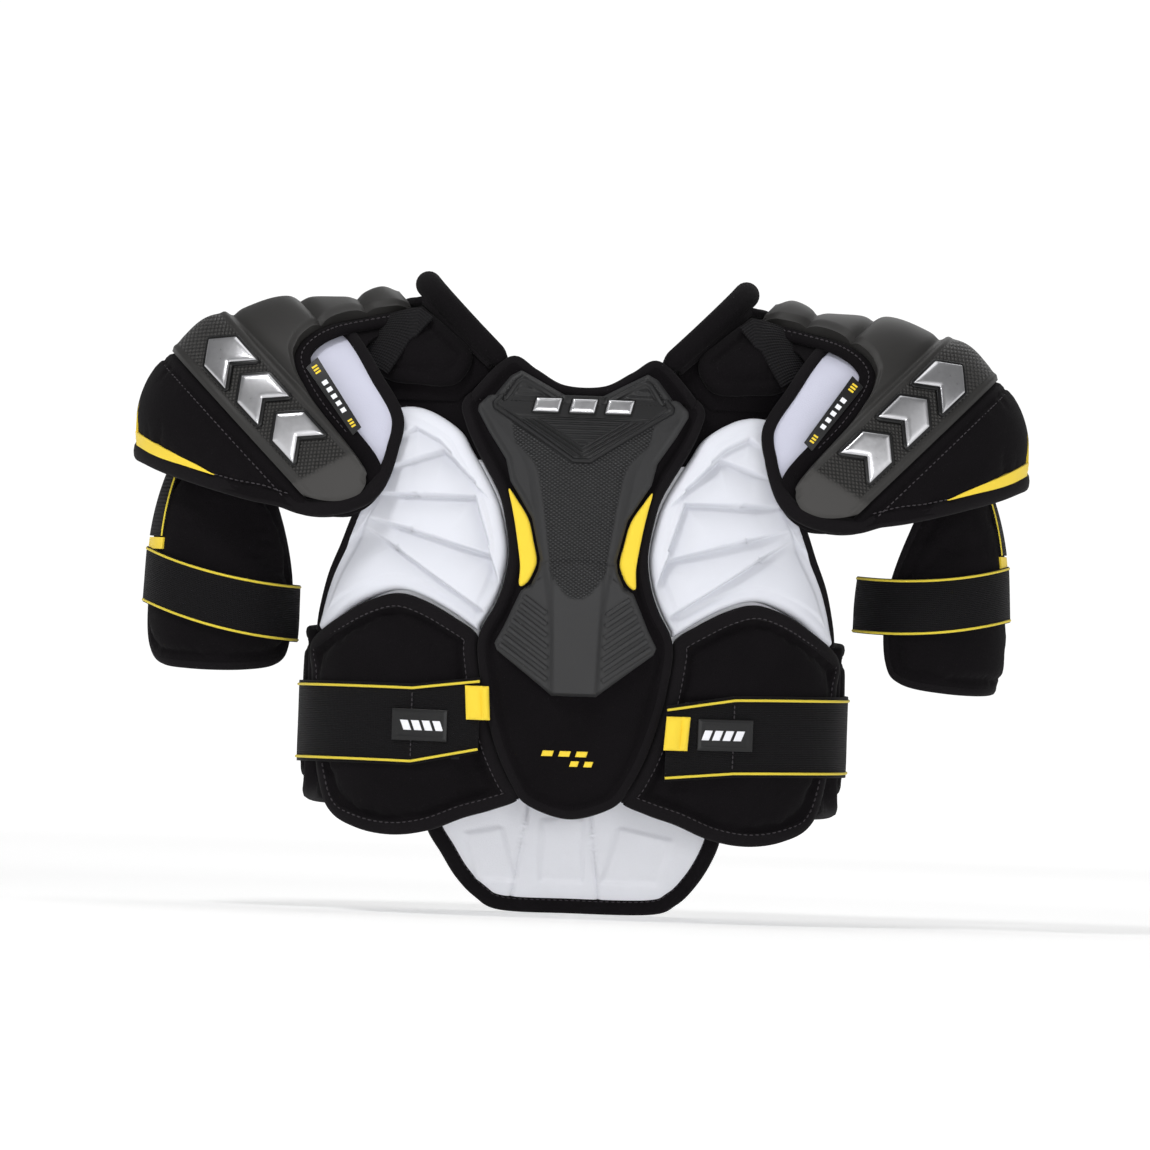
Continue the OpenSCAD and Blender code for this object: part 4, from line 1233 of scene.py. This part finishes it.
def cap_emblem(side, name, body):
    """Three bright chevrons along the band, each in a dark rim."""
    middle, half, tall = 12, 15, 22
    for k, t0 in enumerate((58, 95, 130)):
        lower = [[s, t0 + 12 - abs(s - middle) * 0.8] for s in (middle - half, middle, middle + half)]
        outline = corners(lower + [[s, t + tall] for s, t in reversed(lower)], 150)
        wide = inset(outline, flat_base, -2.4, [middle, t0 + 17])
        centre = [middle, float(cap_angle(np.array(float(middle)), np.array(t0 + 20.0)))]
        for ending, shape, low, top, look, roll, sharp in (("_rim", wide, 0.6, 2.2, "rim", 1.4, None),
                                                           ("", outline, 1.8, 3.9, "chrome", 4.4, 30)):
            edge = np.stack([shape[:, 0], cap_angle(shape[:, 0], np.minimum(shape[:, 1], 172))], -1)
            chevron = pad(f"{name}_cap_chevron_{k + 1}{ending}", cap_base, edge, centre, low, top, side,
                          roll=roll, rings=16, floor=0.25, sharp=sharp)
            finish(chevron, look, body, [name + "_cap_emblem"] if look == "chrome" and k == 0 else ())


def on_label(u, v):
    """Place on the label strip: u along it and v across."""
    s = (-18 - 8.5 * u) * v + (-26.5 - 11.5 * u) * (1 - v)
    return s, cap_angle(s, 45 + 60 * u)


def cap_label(side, name, body):
    """Dark strip with small plain blocks."""
    u, v = grid(0, 1, 60, 0, 1, 14)
    finish(sheet(name + "_cap_label", cap_base, *on_label(u, v), -6.0, -4.6, side), "badge", body,
           [name + "_cap_label"])
    narrow, wide = (0.022, "yellow"), (0.055, "lining")
    blocks = [(0.05, narrow), (0.09, narrow), (0.13, narrow), (0.26, wide), (0.36, wide), (0.46, wide),
              (0.56, wide), (0.66, wide), (0.83, narrow), (0.87, narrow), (0.91, narrow)]
    for k, (start, (width, look)) in enumerate(blocks):
        u, v = grid(start, start + width, 4, 0.3, 0.7, 4)
        mark = sheet(f"{name}_cap_label_mark_{k + 1}", cap_base, *on_label(u + 0.03 * v, v), -4.7, -4.2, side)
        finish(mark, look, body)


def cap_flash(side, name, body):
    """Yellow flash over the outer hem, tapering to the front, and three dashes above it."""
    s = np.linspace(74, 101, 60)
    width = 8.5 * np.clip((s - 74) / 27, 0.02, 1) ** 0.8
    up = np.linspace(0, 1, 6)[:, None]
    p, q = s - 0.75 * width * up, table(HEM, s) + 15.5 + width * up
    finish(sheet(name + "_cap_flash", cap_base, p, cap_angle(p, q), 0.3, 2.6, side), "yellow", body)
    for k, (t0, t1) in enumerate(((148, 160), (162, 169), (171, 176))):
        t, w = grid(t0, t1, 8, 0, 1, 4)
        s = 99.5 - (t - 146) * 0.62
        a = cap_angle(s, np.minimum(t, table(CAP_HEIGHT, s) - 1))
        finish(sheet(f"{name}_cap_dash_{k + 1}", cap_base, s - 2.6 * w, a, 0.3, 2.6, side), "yellow", body)


def caps():
    for side, name in SIDES:
        for part in (cap_shell, cap_skirt, cap_seams, cap_linings, cap_edges, cap_emblem, cap_label,
                     cap_flash):
            part(side, name, name + "_cap")


# ---- Arms ----

ARM_STRAP_WIDTH = 39
ARM_RADIUS = 52


def arm_guard(side, name, turn):
    edge = spline([[p + turn, q] for p, q in GUARD], 300)
    centre = [turn, 245]
    guard = pad(name + "_arm_guard", arm_base, edge, centre, 0.0, 9.6, side, rings=40,
                relief=channel(1.5, 11, 2.0))
    puff(guard, name + "_guard", side, 2.0)
    finish(guard, "black", name + "_arm", [name + "_arm_guard"])
    tape(name + "_guard_binding", arm_base, edge, centre, 3.0, 5.0, 8.0, 10.0, side, body=name + "_arm")


def arm_strap(side, name, body, first, last, middle, rise, dip):
    """Elastic round the arm, with two yellow edge threads. Behind the arm its upper edge is lower by dip."""
    a, v = grid(first, last, 150, -1, 1, 30)

    def height(a, v):
        bend = np.sin(np.radians(a))
        return (middle + rise * bend + 4.5 * (bend ** 2 - 0.45) + v * ARM_STRAP_WIDTH / 2
                - dip * over(-np.cos(np.radians(a))) * over(v))

    u = np.radians(a) * ARM_RADIUS
    strap = sheet(name, arm_base, a, height(a, v), 11.8, 13.9 + 0.2 * np.sin(u / 7) * np.cos(v * 2), side,
                  uv=np.stack([u, v * ARM_STRAP_WIDTH / 2], -1))
    finish(strap, "elastic", body, [name])
    a = a[:, 0]
    for k, v in ((1, 0.93), (2, -0.93)):
        cord = sweep(f"{name}_line_{k}", arm_base, np.stack([a, height(a, v)], -1), 13.9, 1.8, 1.5, side,
                     closed=False, sides=8)
        finish(cord, "yellow_thread", body)


def arm_webbing(side, name, angle, low):
    """Webbing that hangs the guard in its cap, with a yellow edge, and the tab below it."""
    z, v = grid(low + 9, low + 69, 60, -15, 15, 24)
    webbing = sheet(name + "_arm_webbing", arm_base, angle + v, z, 11.4, 13.2, side, uv=np.stack([v, z], -1))
    finish(webbing, "webbing", name + "_arm_link", [name + "_arm_webbing"])
    z = np.linspace(low + 9, low + 68, 60)
    cord = sweep(f"{name}_webbing_line", arm_base, np.stack([np.full(60, angle - 14.2), z], -1), 13.2, 1.6,
                 1.4, side, closed=False, sides=8)
    finish(cord, "yellow_thread", name + "_arm_link")
    z, v = grid(low, low + 8, 14, -16, 16, 30)
    tab = sheet(name + "_arm_tab", arm_base, angle + v, z, 11.4, 12.9, side)
    finish(tab, "yellow", name + "_arm", [name + "_arm_tab"])


def arms():
    # the wearer's left guard hangs turned outwards, and its strap sits higher and flatter
    for (side, name), (turn, middle, rise, dip, webbing_at) in zip(SIDES, ((43, 234, 5.5, 4.5, 80),
                                                                           (5, 221, 12, 0, 68))):
        arm_guard(side, name, turn)
        arm_strap(side, name + "_arm_strap_flap", name + "_arm_flap", -84, 88, middle, rise, dip)
        arm_strap(side, name + "_arm_strap_back", name + "_arm", 90, 274, middle, rise, dip)
        arm_webbing(side, name, webbing_at, middle + rise + ARM_STRAP_WIDTH / 2 + 1)


# ---- Stage ----

def floor():
    """Pale round floor that glows more towards the horizon, so that it meets the background."""
    radii, n = (0.5, 1.5, 3, 6, 10, 14), 96
    verts = [(0, 0, 0)]
    for r in radii:
        turn = np.linspace(0, 2 * math.pi, n, endpoint=False)
        verts += [(r * math.sin(t), r * math.cos(t), 0) for t in turn]
    mesh = bpy.data.meshes.new("floor")
    mesh.from_pydata(verts, [], disc(0, n, len(radii), False))
    obj = bpy.data.objects.new("floor", mesh)
    bpy.context.scene.collection.objects.link(obj)
    k = Nodes("floor")
    tone = k.mix(k.noise(400, 2), (0.84, 0.84, 0.84, 1), (0.87, 0.87, 0.87, 1))
    mesh.materials.append(k.done(tone, 0.9, specular=0.1))
    away = k.new("ShaderNodeVectorMath", operation="LENGTH")
    k.link(k.at, away.inputs[0])
    glow = k.new("ShaderNodeMapRange")
    for key, value in (("From Min", 1.0), ("From Max", 4.0), ("To Min", 0.4), ("To Max", 0.85)):
        glow.inputs[key].default_value = value
    k.link(away.outputs["Value"], glow.inputs["Value"])
    k.shader.inputs["Emission Color"].default_value = (1, 1, 1, 1)
    k.link(glow.outputs["Result"], k.shader.inputs["Emission Strength"])
    obj.location.z = -0.0015


def studio():
    """World that is bright up to the horizon and dim above it."""
    world = bpy.data.worlds.new("studio")
    world.use_nodes = True
    tree = world.node_tree
    up = tree.nodes.new("ShaderNodeSeparateXYZ")
    tree.links.new(tree.nodes.new("ShaderNodeTexCoord").outputs["Generated"], up.inputs[0])
    ramp = tree.nodes.new("ShaderNodeValToRGB")
    stops = ramp.color_ramp.elements
    for at in (0.12, 0.28):
        stops.new(at)
    for stop, at, tone in zip(stops, (0.0, 0.12, 0.28, 1.0), (1.05, 1.05, 0.22, 0.27)):
        stop.position = at
        stop.color = (tone, tone, tone, 1)
    tree.links.new(up.outputs["Z"], ramp.inputs["Fac"])
    tree.links.new(ramp.outputs["Color"], tree.nodes["Background"].inputs["Color"])
    tree.nodes["Background"].inputs["Strength"].default_value = 1.0
    bpy.context.scene.world = world


def lamps():
    for name, size, power, place, target in (("key", 0.6, 21, (-0.9, -1.3, 2.2), (0, 0, 0.22)),
                                             ("fill", 1.4, 4, (1.9, -1.5, 1.0), (0, 0, 0.22)),
                                             ("low", 0.5, 55, (0.3, -5.4, 0.28), (0, 0.1, 0.05)),
                                             ("top", 1.4, 7, (0.1, 0.2, 2.2), (0, 0, 0.3)),
                                             ("back", 1.4, 7, (0.4, 1.8, 1.5), (0, 0, 0.3))):
        light = bpy.data.lights.new(name, "AREA")
        light.shape = "DISK"
        light.size = size
        light.energy = power
        obj = bpy.data.objects.new(name, light)
        obj.location = place
        obj.visible_camera = False
        obj.rotation_euler = (Vector(target) - Vector(place)).to_track_quat("-Z", "Y").to_euler()
        bpy.context.scene.collection.objects.link(obj)


def camera():
    """Long lens from the front, in metres: a view 0.828 wide where the front of the pads is."""
    distance, front, view, sensor = 12.0, 0.06, 0.828, 36
    scene = bpy.context.scene
    cam = bpy.data.cameras.new("camera")
    cam.sensor_width = sensor
    cam.lens = sensor * (distance - front) / view
    cam.clip_end = 50
    obj = bpy.data.objects.new("camera", cam)
    obj.location = (-0.002, -distance, 0.246)
    obj.rotation_euler = (math.radians(90), math.radians(-2.0), 0)
    scene.collection.objects.link(obj)
    scene.camera = obj
    scene.view_settings.view_transform = "Standard"
    scene.view_settings.look = "None"


for build in (sternum, chest, ribs, shoulders, spine, back_pads, tail, liners, hang_loop, belly, caps, arms,
              floor, studio, lamps, camera):
    build()
